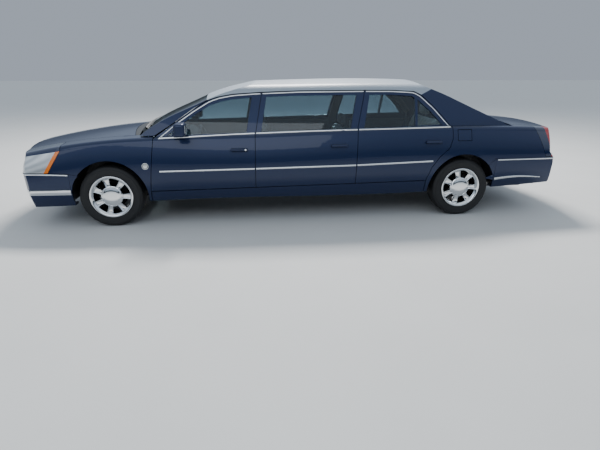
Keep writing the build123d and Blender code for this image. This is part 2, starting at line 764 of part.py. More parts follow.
post_outer_y = door_inner_y - rub_clearance
post_inner_y = 748
rail_wall = 44
rail_core = house_block(frame_wall + rub_clearance + rail_wall, -80)
door_rail = [
    (-1640, 1000), (-1390, 1150), (-1060, 1365), (-940, 1400), (-440, 1440), (740, 1455), (1330, 1445),
    (1420, 1400),
    (1740, 1080), (1790, 1120), (1480, 1452), (1360, 1500), (-960, 1500), (-1120, 1470), (-1640, 1060),
]
roof_rail = [
    (-1040, 1384), (-938, 1412), (-771, 1440), (-447, 1460), (-23, 1474), (739, 1478), (1062, 1476),
    (1330, 1462),
    (1416, 1422), (1500, 1470), (1500, 1600), (-900, 1600),
]
posts = [
    [(-600, 400), (-590, 990), (-505, 1500), (-405, 1500), (-490, 990), (-500, 400)],
    [(560, 430), (582, 1050), (682, 1500), (782, 1500), (682, 1050), (665, 430)],
]
with BuildPart() as rail_band:
    add(side_prism(door_rail, 300, post_outer_y))
    for post in posts:
        add(side_prism(post, 500, post_outer_y))
    add(house_block(frame_wall + rub_clearance, skin_wall + seat_gap), mode=Mode.INTERSECT)
    add(block_between((-2000, 2800), (-1000, 0), (960, 1700)), mode=Mode.INTERSECT)
with BuildPart() as roof_rail_band:
    add(side_prism(roof_rail, 500, 1000))
    add(house_block(skin_wall + seat_gap), mode=Mode.INTERSECT)
with BuildPart() as lower_posts:
    for post in posts:
        add(side_prism(post, post_inner_y, post_outer_y))
    add(block_between((-2000, 2000), (-1000, 0), (400, 965)), mode=Mode.INTERSECT)
with BuildPart() as frame_cut:
    add(rail_band.part)
    add(roof_rail_band.part)
    add(rail_core, mode=Mode.SUBTRACT)
    add(windscreen.part, mode=Mode.SUBTRACT)
    add(lower_posts.part)
    add(sill_space, mode=Mode.SUBTRACT)
with BuildPart() as inner_frame:
    add(frame_cut.part.solids().sort_by(SortBy.VOLUME)[-1])
keep_both("inner_frame", inner_frame)

# Seats: name, hip x, cushion base z, half width, headrest places across the car
seat_specs = [
    ("front_seat", -640, floor_top_z, 690, (-375, 375)),
    ("middle_seat", 470, floor_top_z, 690, (-375, 375)),
    ("rear_seat", 1640, 430, 630, (-330, 330)),
]
headrest_size = (84, 250, 150)
for name, hip_x, base_z, half_width, headrests in seat_specs:
    with BuildPart() as seat:
        with BuildSketch(Plane.XZ.offset(-half_width)) as shape:
            with BuildLine():
                Polyline(
                    (hip_x - 330, base_z + seat_gap), (hip_x - 500, base_z + 60),
                    (hip_x - 520, base_z + 230),
                    (hip_x - 60, base_z + 180), (hip_x + 150, base_z + 700), (hip_x + 280, base_z + 690),
                    (hip_x + 60, base_z + seat_gap), close=True
                )
            make_face()
            fillet(shape.vertices(), 24)
        extrude(amount=2 * half_width)
        if base_z == floor_top_z:
            with Locations((hip_x, 0, floor_top_z)):
                Box(1200, 310, 2 * tunnel_height + 4, mode=Mode.SUBTRACT)
        with Locations(*[(hip_x + 222, y, base_z + 740) for y in headrests]):
            Box(*headrest_size)
    keep(name, seat)

# Instrument panel, with a bore for the steering column, and the steering wheel
steering_y = -375
column_angle = math.radians(24)
column_radius = 30
column_length = 225
wheel_rim_radius = 198
column_plane = Plane(
    origin=(-1120, steering_y, 880), x_dir=(0, 1, 0),
    z_dir=(math.cos(column_angle), 0, math.sin(column_angle))
)
with BuildPart() as steering_wheel:
    with BuildSketch(column_plane):
        Circle(wheel_rim_radius)
        Circle(wheel_rim_radius - 28, mode=Mode.SUBTRACT)
        Rectangle(2 * wheel_rim_radius - 36, 44)
        with Locations((0, -90)):
            Rectangle(44, 180)
        Circle(68)
    extrude(amount=26)
    with BuildSketch(column_plane):
        Circle(column_radius)
    extrude(amount=-column_length)
keep("steering_wheel", steering_wheel)

with BuildPart() as dashboard:
    with BuildSketch(Plane.XZ.offset(-720)) as shape:
        with BuildLine():
            Polyline(
                (firewall_x + seat_gap, 640), (firewall_x + seat_gap, 925), (-1560, 965), (-1390, 950),
                (-1290, 880),
                (-1310, 700), (-1400, 560), close=True
            )
        make_face()
        fillet(shape.vertices(), 18)
    extrude(amount=1440)
    with BuildSketch(column_plane):
        Circle(column_radius + seat_gap)
    extrude(amount=-column_length - seat_gap, mode=Mode.SUBTRACT)
keep("dashboard", dashboard)

# Engine block on the front cross member, which hangs from the rails
engine_low_z = 275
with BuildPart() as engine:
    with Locations((-2230, 0, engine_low_z + seat_gap + 265)):
        Box(560, 2 * (rail_y - rail_half - 23), 530)
    chamfer(engine.edges().filter_by(Axis.Y), 40)
keep("engine", engine)

frame_height = 50
post_high_z = rail_z - rail_height / 2 - seat_gap
with BuildPart() as front_suspension:
    with Locations((front_axle_x, 0, engine_low_z - frame_height / 2)):
        Box(620, 840, frame_height)
        Box(420, 620, frame_height, mode=Mode.SUBTRACT)
    with Locations(*[(front_axle_x + x, y, (post_high_z + engine_low_z - 1) / 2)
                     for x in (-270, 270) for y in (-rail_y, rail_y)]):
        Box(60, 60, post_high_z - engine_low_z + 1)
    with Locations((front_axle_x, 0, engine_low_z - frame_height / 2)):
        Box(90, 1380, 40)
keep("front_suspension", front_suspension)

axle_radius = 48
with BuildPart() as rear_suspension:
    with Locations((rear_axle_x, 0, 330)):
        Box(120, 1180, 60)
    with BuildSketch(Plane.XY.offset(340)):
        with Locations((rear_axle_x, -560), (rear_axle_x, 560)):
            Circle(46)
    extrude(amount=boot_floor_z - floor_wall - seat_gap - 340)
    with BuildSketch(Plane.XZ.offset(-stub_end_y)):
        with Locations((rear_axle_x, tyre_radius)):
            Circle(axle_radius)
    extrude(amount=2 * stub_end_y)
keep("rear_suspension", rear_suspension)

# Rear panel, lamp posts and the beam behind the rear bumper
rear_panel_x = 3051
with BuildPart() as rear_structure:
    with Locations((rear_panel_x, 0, 870)):
        Box(22, 1900, 360)
    for side in (-1, 1):
        with Locations((3000, side * 850, 860)):
            Box(30, 260, 400)
        with Locations((3025, side * 735, 678)):
            Box(76, 60, 130)
    add(snug_lamp, mode=Mode.INTERSECT)
    with Locations((rear_panel_x, 0, (boot_floor_z + rear_bumper_top_z) / 2)):
        Box(22, 1900, rear_bumper_top_z - boot_floor_z)
    with Locations((3125, 0, 550)):
        Box(150, 1160, 100)
    with Locations((3086, 0, 550)):
        Box(60, 840, 140, mode=Mode.SUBTRACT)
    with Locations((rear_panel_x, 0, 550)):
        Box(22, 1160, 100)
    add(snug_inner, mode=Mode.INTERSECT)
    add(block_between((2000, boot_end_x), (-floor_half, floor_half), (300, boot_floor_z)),
        mode=Mode.SUBTRACT)
    add(boot_void, mode=Mode.SUBTRACT)
keep("rear_structure", rear_structure)

tank_top_z = 420 - floor_wall - seat_gap
with BuildPart() as fuel_tank:
    with Locations((1500, 0, tank_top_z - 65)):
        Box(400, 900, 130)
    fillet(fuel_tank.edges().filter_by(Axis.Z), 40)
keep("fuel_tank", fuel_tank)

# Exhaust: front pipe, silencer on two straps under the boot floor, and tail pipe
pipe_y = -520
silencer_z = 338
strap_height = boot_floor_z - floor_wall - seat_gap - silencer_z - 40
tail_pipe_radius = 30
with BuildPart() as exhaust:
    with BuildSketch(Plane.YZ.offset(2360)):
        with Locations((pipe_y, silencer_z)):
            RectangleRounded(300, 110, 50)
    extrude(amount=480)
    with BuildSketch(Plane.YZ.offset(2840)):
        with Locations((pipe_y - 60, silencer_z)):
            Circle(tail_pipe_radius)
    extrude(amount=300)
    with BuildSketch(Plane.YZ.offset(3140)):
        with Locations((pipe_y - 60, silencer_z)):
            Circle(tail_pipe_radius - 3)
    extrude(amount=-120, mode=Mode.SUBTRACT)
    with Locations(*[(x, pipe_y, silencer_z + 40 + strap_height / 2) for x in (2420, 2780)]):
        Box(30, 120, strap_height)
keep("exhaust", exhaust)

# Wheels, built about the origin and moved to each hub
tyre_half = tyre_width / 2
bead_y = rim_width / 2
with BuildPart() as tyre_shape:
    with BuildSketch(Plane.XY):
        with BuildLine():
            for side in (-1, 1):
                Line((bead_radius, side * bead_y), (flange_radius + 6, side * (bead_y + 7)))
                ThreePointArc(
                    (flange_radius + 6, side * (bead_y + 7)), (tyre_radius - 56, side * tyre_half),
                    (tyre_radius - 17, side * (tyre_half - 12))
                )
                ThreePointArc(
                    (tyre_radius - 17, side * (tyre_half - 12)), (tyre_radius - 5, side * (tyre_half - 20)),
                    (tyre_radius, side * (tyre_half - 34))
                )
            Line((bead_radius, -bead_y), (bead_radius, bead_y))
            Line((tyre_radius, 34 - tyre_half), (tyre_radius, tyre_half - 34))
        make_face()
    revolve(axis=Axis.Y)

# Rim: barrel, bright lip, dished face with windows between ribbed spokes, domed hub cap
window_inner_radius = 106
window_outer_radius = 196
half_pitch = math.pi / spoke_count
window_points = [
    (radius * math.cos(half_pitch - math.asin(spoke_width / 2 / radius)),
     radius * math.sin(half_pitch - math.asin(spoke_width / 2 / radius)))
    for radius in (window_inner_radius, window_outer_radius)
]
with BuildPart() as rim_shape:
    with BuildSketch(Plane.XY):
        with BuildLine():
            Polyline(
                (bead_radius - seat_gap, 2 - bead_y), (bead_radius - seat_gap, -bead_y - 2),
                (flange_radius - 1, -bead_y - 7), (flange_radius, -bead_y - 10),
                (flange_radius - 5, -bead_y - 12), (bead_radius - 8, -bead_y - 4), (205, 12 - bead_y),
                (190, -40), (190, 70), (bead_radius - 10, bead_y - 2),
                (bead_radius - seat_gap, bead_y - 2), close=True
            )
        make_face()
    revolve(axis=Axis.Y)
    with BuildSketch(Plane.XY):
        with BuildLine():
            Line((0, -58), (0, -96))
            Line((0, -96), (cap_radius - 6, -92))
            ThreePointArc((cap_radius - 6, -92), (150, -84), (206, -94))
            Line((206, -94), (206, -70))
            Line((206, -70), (110, -58))
            Line((110, -58), (0, -58))
        make_face()
    revolve(axis=Axis.Y)
    with BuildSketch(Plane.XZ.offset(50)):
        with PolarLocations(0, spoke_count, start_angle=180 / spoke_count):
            with BuildLine():
                (inner_x, inner_y), (outer_x, outer_y) = window_points
                Line((inner_x, -inner_y), (outer_x, -outer_y))
                ThreePointArc((outer_x, -outer_y), (window_outer_radius, 0), (outer_x, outer_y))
                Line((outer_x, outer_y), (inner_x, inner_y))
                Line((inner_x, inner_y), (inner_x, -inner_y))
            make_face()
    extrude(amount=60, mode=Mode.SUBTRACT)
    with BuildSketch(Plane.XZ.offset(80)):
        with PolarLocations(154, spoke_count):
            RectangleRounded(76, 20, 8)
    extrude(amount=40, mode=Mode.SUBTRACT)
    with BuildSketch(Plane.XY):
        with BuildLine():
            ThreePointArc((0, -bead_y - 2), (cap_radius * 0.6, -bead_y + 1), (cap_radius, -90))
            Line((cap_radius, -90), (cap_radius, -70))
            Line((cap_radius, -70), (0, -70))
            Line((0, -70), (0, -bead_y - 2))
        make_face()
    revolve(axis=Axis.Y)
    with BuildSketch(Plane.XZ.offset(-hub_back)):
        Circle(hub_radius)
    extrude(amount=hub_back + 60)
    with BuildSketch(Plane.XZ.offset(-25)):
        Circle(brake_radius)
    extrude(amount=-20)

kingpin_y = 660
wheels = [
    ("front_left", front_axle_x, -1),
    ("front_right", front_axle_x, 1),
    ("rear_left", rear_axle_x, -1),
    ("rear_right", rear_axle_x, 1),
]
for name, axle_x, side in wheels:
    hub = Location((axle_x, side * track_half, tyre_radius), (0, 0, 0 if side < 0 else 180))
    with BuildPart() as tyre:
        with Locations(hub):
            add(tyre_shape.part)
    keep(f"tyre_{name}", tyre)
    with BuildPart() as rim:
        with Locations(hub):
            add(rim_shape.part)
    keep(f"rim_{name}", rim)

with BuildPart() as knuckle:
    with BuildSketch(Plane.XZ.offset(690)):
        with Locations((front_axle_x, tyre_radius)):
            Circle(70)
    extrude(amount=40)
    with BuildSketch(Plane.XZ.offset(700)):
        with Locations((front_axle_x, tyre_radius)):
            Circle(stub_radius)
    extrude(amount=stub_end_y - 700)
    with BuildSketch(Plane.XY.offset(270.3)):
        with Locations((front_axle_x, -kingpin_y)):
            Circle(34)
    extrude(amount=146)
keep_both("knuckle", knuckle)
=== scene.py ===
import bpy
import bmesh
import math
from mathutils import Matrix, Vector
from mathutils.bvhtree import BVHTree


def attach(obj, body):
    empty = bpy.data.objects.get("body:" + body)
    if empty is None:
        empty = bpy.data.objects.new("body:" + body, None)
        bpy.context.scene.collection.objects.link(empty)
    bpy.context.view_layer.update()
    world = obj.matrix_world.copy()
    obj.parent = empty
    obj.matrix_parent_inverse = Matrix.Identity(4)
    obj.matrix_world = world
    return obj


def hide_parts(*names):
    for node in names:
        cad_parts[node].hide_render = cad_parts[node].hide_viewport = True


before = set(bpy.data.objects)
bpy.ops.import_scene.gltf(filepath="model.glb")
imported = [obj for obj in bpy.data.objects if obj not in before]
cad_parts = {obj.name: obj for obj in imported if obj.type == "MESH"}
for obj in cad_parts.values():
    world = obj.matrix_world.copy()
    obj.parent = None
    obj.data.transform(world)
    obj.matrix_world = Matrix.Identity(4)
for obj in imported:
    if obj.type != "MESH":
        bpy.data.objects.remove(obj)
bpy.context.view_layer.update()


# Camera: about six metres off the left-hand side and a little ahead of the middle, at eye
# height. It looks down at the road, so the car fills the upper part of the picture.
def linked(name, data):
    """Puts an object of this data into the scene."""
    made = bpy.data.objects.new(name, data)
    bpy.context.scene.collection.objects.link(made)
    return made


camera_place = Vector((-0.603, -5.962, 1.717))
camera_yaw = 0.1118
camera_pitch = 0.3366
camera_roll = 0.0017
sensor_width = 36
focal_length = 27
forward = Vector((
    math.sin(camera_yaw) * math.cos(camera_pitch),
    math.cos(camera_yaw) * math.cos(camera_pitch),
    -math.sin(camera_pitch),
))
camera_data = bpy.data.cameras.new("photo_camera")
camera_data.sensor_width = sensor_width
camera_data.lens = focal_length
camera = linked("photo_camera", camera_data)
camera.matrix_world = (
    Matrix.Translation(camera_place)
    @ forward.to_track_quat("-Z", "Y").to_matrix().to_4x4()
    @ Matrix.Rotation(camera_roll, 4, "Z")
)
bpy.context.scene.camera = camera


# Studio floor: a plain pale sheet, slightly mottled, under the whole car. Its finish brings
# what every later finish uses: a wire for shader maths, a tree that makes any other node
# from its type, its settings and its sockets, and a finish of such nodes.
class Wire:
    """A node's output, on which an expression adds the Math nodes it needs."""

    def __init__(self, nodes, socket):
        self.nodes = nodes
        self.socket = socket

    def maths(self, operation, left, right=0.0):
        settings = {"operation": operation}
        return self.nodes.node("ShaderNodeMath", settings, {0: left, 1: right}).out(0)

    def __add__(self, other):
        return self.maths("ADD", self, other)

    __radd__ = __add__

    def __mul__(self, other):
        return self.maths("MULTIPLY", self, other)

    __rmul__ = __mul__

    def __sub__(self, other):
        return self.maths("SUBTRACT", self, other)

    def __rsub__(self, other):
        return self.maths("SUBTRACT", other, self)

    def __pow__(self, other):
        return self.maths("POWER", self, other)

    def __gt__(self, other):
        return self.maths("GREATER_THAN", self, other)

    def __lt__(self, other):
        return self.maths("LESS_THAN", self, other)

    def __abs__(self):
        return self.maths("ABSOLUTE", self)

    def sine(self):
        return self.maths("SINE", self)


class MadeNode:
    """A node in a tree, which hands out its outputs as wires."""

    def __init__(self, nodes, made):
        self.nodes = nodes
        self.made = made

    def out(self, key):
        return Wire(self.nodes, self.made.outputs[key])


class Nodes:
    """A node tree that grows."""

    def __init__(self, tree):
        self.tree = tree

    def link(self, socket, value):
        if isinstance(value, Wire):
            self.tree.links.new(value.socket, socket)
        else:
            socket.default_value = value

    def node(self, kind, settings=None, sockets=None):
        """Any node, from its type, its settings and the values or wires of its sockets."""
        made = self.tree.nodes.new(kind)
        for key, value in (settings or {}).items():
            if key == "stops":
                stops = made.color_ramp.elements
                while len(stops) < len(value):
                    stops.new(0.5)
                for stop, (position, color) in zip(stops, value):
                    stop.position = position
                    stop.color = (*color, 1)
            else:
                setattr(made, key, value)
        for key, value in (sockets or {}).items():
            self.link(made.inputs[key], value)
        return MadeNode(self, made)

    def blend(self, share, low, high):
        """Colour between two colours, which are numbers or wires."""
        low = low if isinstance(low, Wire) else (*low, 1)
        high = high if isinstance(high, Wire) else (*high, 1)
        sockets = {0: share, 6: low, 7: high}
        return self.node("ShaderNodeMix", {"data_type": "RGBA"}, sockets).out(2)


class Finish(Nodes):
    """A material, from its colour and the other sockets of its shader."""

    def __init__(self, name, color, **sockets):
        self.material = bpy.data.materials.new(name)
        self.material.use_nodes = True
        super().__init__(self.material.node_tree)
        self.shader = self.tree.nodes["Principled BSDF"]
        self.material.diffuse_color = (*color, 1)
        self.set("Base Color", (*color, 1))
        for key, value in sockets.items():
            self.set(key.replace("_", " ").title().replace("Ior", "IOR"), value)

    def set(self, key, value):
        self.link(self.shader.inputs[key], value)

    def place(self):
        """The point's own place, in metres."""
        return self.node("ShaderNodeTexCoord").out("Object")

    def parts(self, vector):
        """The x, y and z of a vector."""
        split = self.node("ShaderNodeSeparateXYZ", {}, {0: vector})
        return split.out(0), split.out(1), split.out(2)

    def axes(self):
        """The point's own x, y and z in metres."""
        return self.parts(self.place())

    def facing(self):
        """The surface's own direction, x, y and z."""
        return self.parts(self.node("ShaderNodeNewGeometry").out("Normal"))

    def noise(self, scale, detail):
        sockets = {"Vector": self.place(), "Scale": scale, "Detail": detail}
        return self.node("ShaderNodeTexNoise", {}, sockets).out(0)

    def pebbles(self, scale):
        sockets = {"Vector": self.place(), "Scale": scale}
        return self.node("ShaderNodeTexVoronoi", {}, sockets).out("Distance")

    def mottle(self, pattern, low, high):
        """Lets the base colour follow a pattern between two colours."""
        self.set("Base Color", self.blend(pattern, low, high))

    def bump(self, height, strength, distance):
        sockets = {"Height": height, "Strength": strength, "Distance": distance}
        self.set("Normal", self.node("ShaderNodeBump", {}, sockets).out(0))


floor_reach = 60
floor_mesh = bpy.data.meshes.new("studio_floor")
shape = bmesh.new()
bmesh.ops.create_grid(shape, x_segments=1, y_segments=1, size=floor_reach)
shape.to_mesh(floor_mesh)
shape.free()
floor_sheet = linked("studio_floor", floor_mesh)
pale = Finish("studio_floor", (0.60, 0.60, 0.59), roughness=0.8)
pale.mottle(pale.noise(1.4, 4.0), (0.58, 0.58, 0.57), (0.63, 0.63, 0.62))
floor_mesh.materials.append(pale.material)


# Light: one soft lamp above and beyond the car, so that its shadow falls towards the camera,
# a wide weak one on the camera's side, and a surround that is brightest overhead.
def area_light(name, place, aim, size, power, color):
    """Rectangular lamp, turned to what it aims at."""
    data = bpy.data.lights.new(name, "AREA")
    data.shape = "RECTANGLE"
    data.size, data.size_y = size
    data.energy = power
    data.color = color
    lamp = linked(name, data)
    lamp.location = place
    lamp.rotation_euler = (Vector(aim) - Vector(place)).to_track_quat("-Z", "Y").to_euler()


area_light("beyond_light", (0.6, 5.2, 8.6), (0, 0, 0.6), (3.4, 1.7), 1900, (1, 0.98, 0.95))
area_light("near_light", (-3, -9, 5.5), (0, 0, 0.8), (10, 3), 150, (0.92, 0.96, 1))
sky_stops = [
    (0.50, (0.045, 0.055, 0.065)), (0.545, (0.09, 0.11, 0.13)), (0.60, (0.42, 0.50, 0.60)),
    (0.72, (0.66, 0.78, 0.95)), (1.0, (0.84, 0.93, 1.0)),
]
backdrop = (0.40, 0.45, 0.53)
sky_strength = 0.9
world = bpy.data.worlds.new("surround")
world.use_nodes = True
sky = Nodes(world.node_tree)
sky_direction = sky.node("ShaderNodeTexCoord").out("Generated")
sky_up = sky.node("ShaderNodeSeparateXYZ", {}, {0: sky_direction}).out(2)
sky_light = sky.node("ShaderNodeValToRGB", {"stops": sky_stops}, {0: sky_up * 0.5 + 0.5}).out(0)
seen_plainly = sky.node("ShaderNodeLightPath").out("Is Camera Ray")
surround = sky.tree.nodes["Background"]
sky.link(surround.inputs["Color"], sky.blend(seen_plainly, sky_light, backdrop))
sky.link(surround.inputs["Strength"], sky_strength)
bpy.context.scene.world = world


# Body panels: pressed steel and moulded bumpers in deep navy metallic under clear lacquer.
# The doors' inner faces carry a grey moulded lining, which the doors' paint also makes.
def dress(finish, *nodes):
    """Gives carried-over pieces a finish."""
    for name in nodes:
        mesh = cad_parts[name].data
        mesh.materials.clear()
        mesh.materials.append(finish.material)


def pair(name):
    """A piece's name on the left and on the right."""
    return [f"{name}_left", f"{name}_right"]


def flaked(finish):
    """Navy with metallic flakes in it."""
    return finish.blend(finish.noise(flake_scale, 1.0), navy_deep, navy_lit)


navy_deep = (0.0019, 0.0105, 0.046)
navy_lit = (0.0032, 0.0165, 0.066)
flake_scale = 1400
paint_metallic = 0.55
paint_roughness = 0.38
lacquer_weight = 0.5
lacquer_roughness = 0.02
paint = Finish(
    "navy_paint", navy_deep, metallic=paint_metallic, roughness=paint_roughness,
    coat_weight=lacquer_weight, coat_roughness=lacquer_roughness
)
paint.set("Base Color", flaked(paint))
panel_waves = paint.noise(9.0, 1.0)
paint.bump(panel_waves, 0.05, 0.002)
dress(
    paint, "hood", "boot_lid", "fuel_flap", "front_bumper", "rear_bumper", "front_pillars",
    "sills", *pair("front_fender"), *pair("quarter_panel"), *pair("mirror")
)
lining_grey = (0.075, 0.072, 0.068)
lining_reach_y = 0.815
lining_top_z = 1.0
door_paint = Finish(
    "door_paint", navy_deep, metallic=paint_metallic, coat_roughness=lacquer_roughness
)
along, across, height = door_paint.axes()
lining = (abs(across) < lining_reach_y) * (height < lining_top_z)
door_paint.set("Base Color", door_paint.blend(lining, flaked(door_paint), lining_grey))
door_paint.set("Roughness", paint_roughness + lining * 0.3)
door_paint.set("Coat Weight", lacquer_weight - lining * lacquer_weight)
door_paint.set("Metallic", paint_metallic - lining * paint_metallic)
door_paint.bump(lining * door_paint.noise(420, 2.0), 0.3, 0.001)
dress(door_paint, *pair("front_door"), *pair("middle_door"), *pair("rear_door"))

# Roof cover: grained vinyl, stretched and glued over the raised steel roof. Its silvery grey
# colour is a painted reflection of the bright sky, far lighter than the dark vinyl itself.
# Inside, the same panel carries a pale cloth headlining.
# Two silvery greys of painted sky reflection, varied by the vinyl's grain.
painted_sheen_light = (0.40, 0.45, 0.50)
painted_sheen_dark = (0.25, 0.30, 0.36)
headlining = (0.42, 0.41, 0.39)
cabin_middle_x = 0.3
cabin_middle_z = 0.9
lengthwise_share = 0.2
cover = Finish("roof_cover", painted_sheen_light, roughness=0.36, coat_weight=0.35, coat_roughness=0.3)
face_x, face_y, face_z = cover.facing()
along, across, height = cover.axes()
outward = (
    face_x * (along - cabin_middle_x) * lengthwise_share
    + face_y * across
    + face_z * (height - cabin_middle_z)
)
inside = outward < 0
grain = cover.noise(170, 4.0)
# The vinyl's grain, between the two greys of painted sky reflection.
vinyl_with_painted_sheen = cover.blend(grain, painted_sheen_dark, painted_sheen_light)
cover.set("Base Color", cover.blend(inside, vinyl_with_painted_sheen, headlining))
cover.set("Roughness", 0.32 + grain * 0.16 + inside * 0.4)
cover.bump(grain + cover.pebbles(330) * 0.6, 0.5, 0.0025)
dress(cover, "roof")

# Glass: blue-green tinted, laminated in the windscreen, tempered in the rear window and the
# doors, and set in rubber channels.
glass = Finish(
    "window_glass", (0.38, 0.48, 0.53), roughness=0.0, transmission_weight=1.0, ior=1.45
)
glass.mottle(glass.noise(3.0, 3.0), (0.34, 0.45, 0.51), (0.39, 0.50, 0.55))
dress(
    glass, "windscreen", "rear_window",
    *pair("front_door_glass"), *pair("middle_door_glass"), *pair("rear_door_glass")
)

# Headlamps: a clear moulded lens over a bright reflector with two bowls, and an amber marker
# along its rear edge. The reflector's bowls and the lens's ribs are drawn on the lamp's face
# as rings and stripes of painted shade. The housing reaches up under the hood's edge, and is
# painted there.
lamp_silver = (0.78, 0.80, 0.80)
# Grey of the painted shade in the reflector's bowls and the lens's ribs.
painted_lamp_shade = (0.34, 0.36, 0.38)
lamp_amber = (0.85, 0.20, 0.012)
bowl_y = 0.60
bowl_z = 0.745
bowl_squeeze = 0.9
bowl_waves = 260
rib_waves = 520
marker_foot_x = -2.780
marker_foot_z = 0.634
marker_lean = 0.628
marker_width = 0.042
lamp_top_x = -2.809
lamp_top_z = 0.836
lamp_top_rise = 0.155
lamp_lens = Finish(
    "lamp_lens", lamp_silver, metallic=0.5, roughness=0.16, coat_weight=1.0, coat_roughness=0.01
)
along, across, height = lamp_lens.axes()
bowl_rise = (height - bowl_z) * bowl_squeeze
bowl_reach = ((abs(across) - bowl_y) ** 2 + bowl_rise ** 2) ** 0.5
bowls = (bowl_reach * bowl_waves).sine() * 0.5 + 0.5
ribs = (along * rib_waves).sine() * 0.5 + 0.5
marker = along - marker_foot_x - (height - marker_foot_z) * marker_lean > -marker_width
above_lamp = height > lamp_top_z + (along - lamp_top_x) * lamp_top_rise
# Rings round the bowls and ribs along the lens: painted shade between the reflector's colour
# and grey.
reflector_with_painted_shade = lamp_lens.blend(bowls * 0.5 + ribs * 0.2, lamp_silver, painted_lamp_shade)
lamp_face_with_painted_shade = lamp_lens.blend(marker, reflector_with_painted_shade, lamp_amber)
lamp_lens.set("Base Color", lamp_lens.blend(above_lamp, lamp_face_with_painted_shade, flaked(lamp_lens)))
lamp_lens.set("Metallic", 0.5 - marker * 0.5)
lamp_lens.set("Roughness", 0.16 + above_lamp * 0.2)
lamp_lens.bump((bowls * 0.5 + ribs * 0.5) * (1 - above_lamp), 0.35, 0.002)
dress(lamp_lens, "headlamps")

# Tail lamps: upright red moulded lenses that wrap round the corner of the wing as a thin
# strip. The leading part of each housing is a painted panel.
tail_red = (0.52, 0.010, 0.012)
tail_deep = (0.22, 0.004, 0.006)
strip_foot_x = 3.034
strip_foot_z = 0.704
strip_lean = 0.250
flute_waves = 420
tail_lens = Finish("tail_lens", tail_red, roughness=0.1, coat_weight=1.0, coat_roughness=0.02)
along, across, height = tail_lens.axes()
behind_line = along > strip_foot_x - (height - strip_foot_z) * strip_lean
flutes = (height * flute_waves).sine() * 0.5 + 0.5
tail_color = tail_lens.blend(flutes, tail_red, tail_deep)
tail_lens.set("Base Color", tail_lens.blend(behind_line, navy_deep, tail_color))
tail_lens.bump(flutes * behind_line, 0.25, 0.0015)
dress(tail_lens, "tail_lamps")

# Grille: an egg-crate lattice and its frame, moulded in plastic and chromed.
# The same bright chrome covers the mouldings and the headrests' pins further down.
chrome_light = (0.86, 0.87, 0.88)
chrome = Finish("bright_chrome", chrome_light, metallic=1.0, roughness=0.05)
chrome.set("Roughness", 0.035 + chrome.noise(60, 3.0) * 0.05)
dress(chrome, "grille")


# Wheels: cast and chromed, with seven ribbed spokes that widen towards the rim and a domed
# cap over the nuts. Behind them is the dark cast brake disc. The rim's inner barrel and the
# spokes' backs, as far in as the disc's face, are painted just as dark, as shade inside the
# wheel.
def piece(name, shape, body, finish, sharp=40):
    """Makes a finished object of a bmesh, which rides on a body."""
    mesh = bpy.data.meshes.new(name)
    shape.to_mesh(mesh)
    shape.free()
    mesh.shade_smooth()
    mesh.set_sharp_from_angle(angle=math.radians(sharp))
    mesh.materials.append(finish.material)
    made = linked(name, mesh)
    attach(made, body)
    return made


def turned_ring(shape, profile, steps):
    """Adds a closed ring of a profile of (radius, distance outwards) about the Y axis."""
    corners = [shape.verts.new((radius, out, 0)) for radius, out in profile]
    edges = [shape.edges.new(ends) for ends in zip(corners, corners[1:] + corners[:1])]
    bmesh.ops.spin(
        shape, geom=corners + edges, cent=(0, 0, 0), axis=(0, 1, 0), angle=math.tau,
        steps=steps, use_merge=True, use_duplicate=False
    )


def seated(shape, centre, side):
    """Turns a shape's outer face to its side of the car and moves it there."""
    if side < 0:
        bmesh.ops.scale(shape, vec=(1, -1, 1), verts=shape.verts[:])
    bmesh.ops.recalc_face_normals(shape, faces=shape.faces[:])
    bmesh.ops.translate(shape, vec=centre, verts=shape.verts[:])
    return shape


hands = (("left", -1), ("right", 1))
front_axle_x = -2.158
rear_axle_x = 1.921
axle_z = 0.345
track_half = 0.793
wheel_corners = [
    (f"{end}_{hand}", (axle_x, side * track_half, axle_z), side)
    for end, axle_x in (("front", front_axle_x), ("rear", rear_axle_x))
    for hand, side in hands
]
rim_section = [
    (0.2187, 0.1045), (0.2335, 0.1095), (0.2350, 0.1125), (0.2320, 0.1143), (0.2270, 0.1143),
    (0.2140, 0.1085), (0.2085, 0.1000), (0.2010, 0.0930), (0.1970, 0.0860), (0.1930, 0.0600),
    (0.1900, 0.0400), (0.1900, -0.0700), (0.2090, -0.1005), (0.2187, -0.1005),
]
cap_section = [
    (0.0005, 0.0600), (0.1180, 0.0600), (0.1200, 0.0780), (0.1170, 0.0840), (0.1080, 0.0880),
    (0.1040, 0.0925), (0.0990, 0.0935), (0.0900, 0.0975), (0.0700, 0.1015), (0.0400, 0.1040),
    (0.0005, 0.1045),
]
disc_section = [
    (0.0005, -0.0450), (0.1500, -0.0450), (0.1500, -0.0250), (0.0620, -0.0250),
    (0.0620, 0.0600), (0.0005, 0.0600),
]
wheel_steps = 84
spoke_count = 7
spoke_from = 0.100
spoke_to = 0.206
spoke_back = 0.0560
spoke_front = 0.0885
spoke_bow = 0.0075
spoke_width = 0.050
spoke_flare = 0.024
rib_width = 0.012
rib_height = 0.016
dish_from = spoke_from + 0.004
dish_half = 0.0262
spoke_easing = 0.0022
sharp_crease = 0.5
outwards = 0.8
bright_wheel = (0.80, 0.81, 0.82)
# Dark of the cast disc, also used as painted shade inside the wheel.
disc_and_shade_dark = (0.022, 0.022, 0.024)
disc_and_shade_within_y = 0.850
wheel_metal = Finish("wheel_chrome", chrome_light, metallic=1.0, roughness=0.05)
along, across, height = wheel_metal.axes()
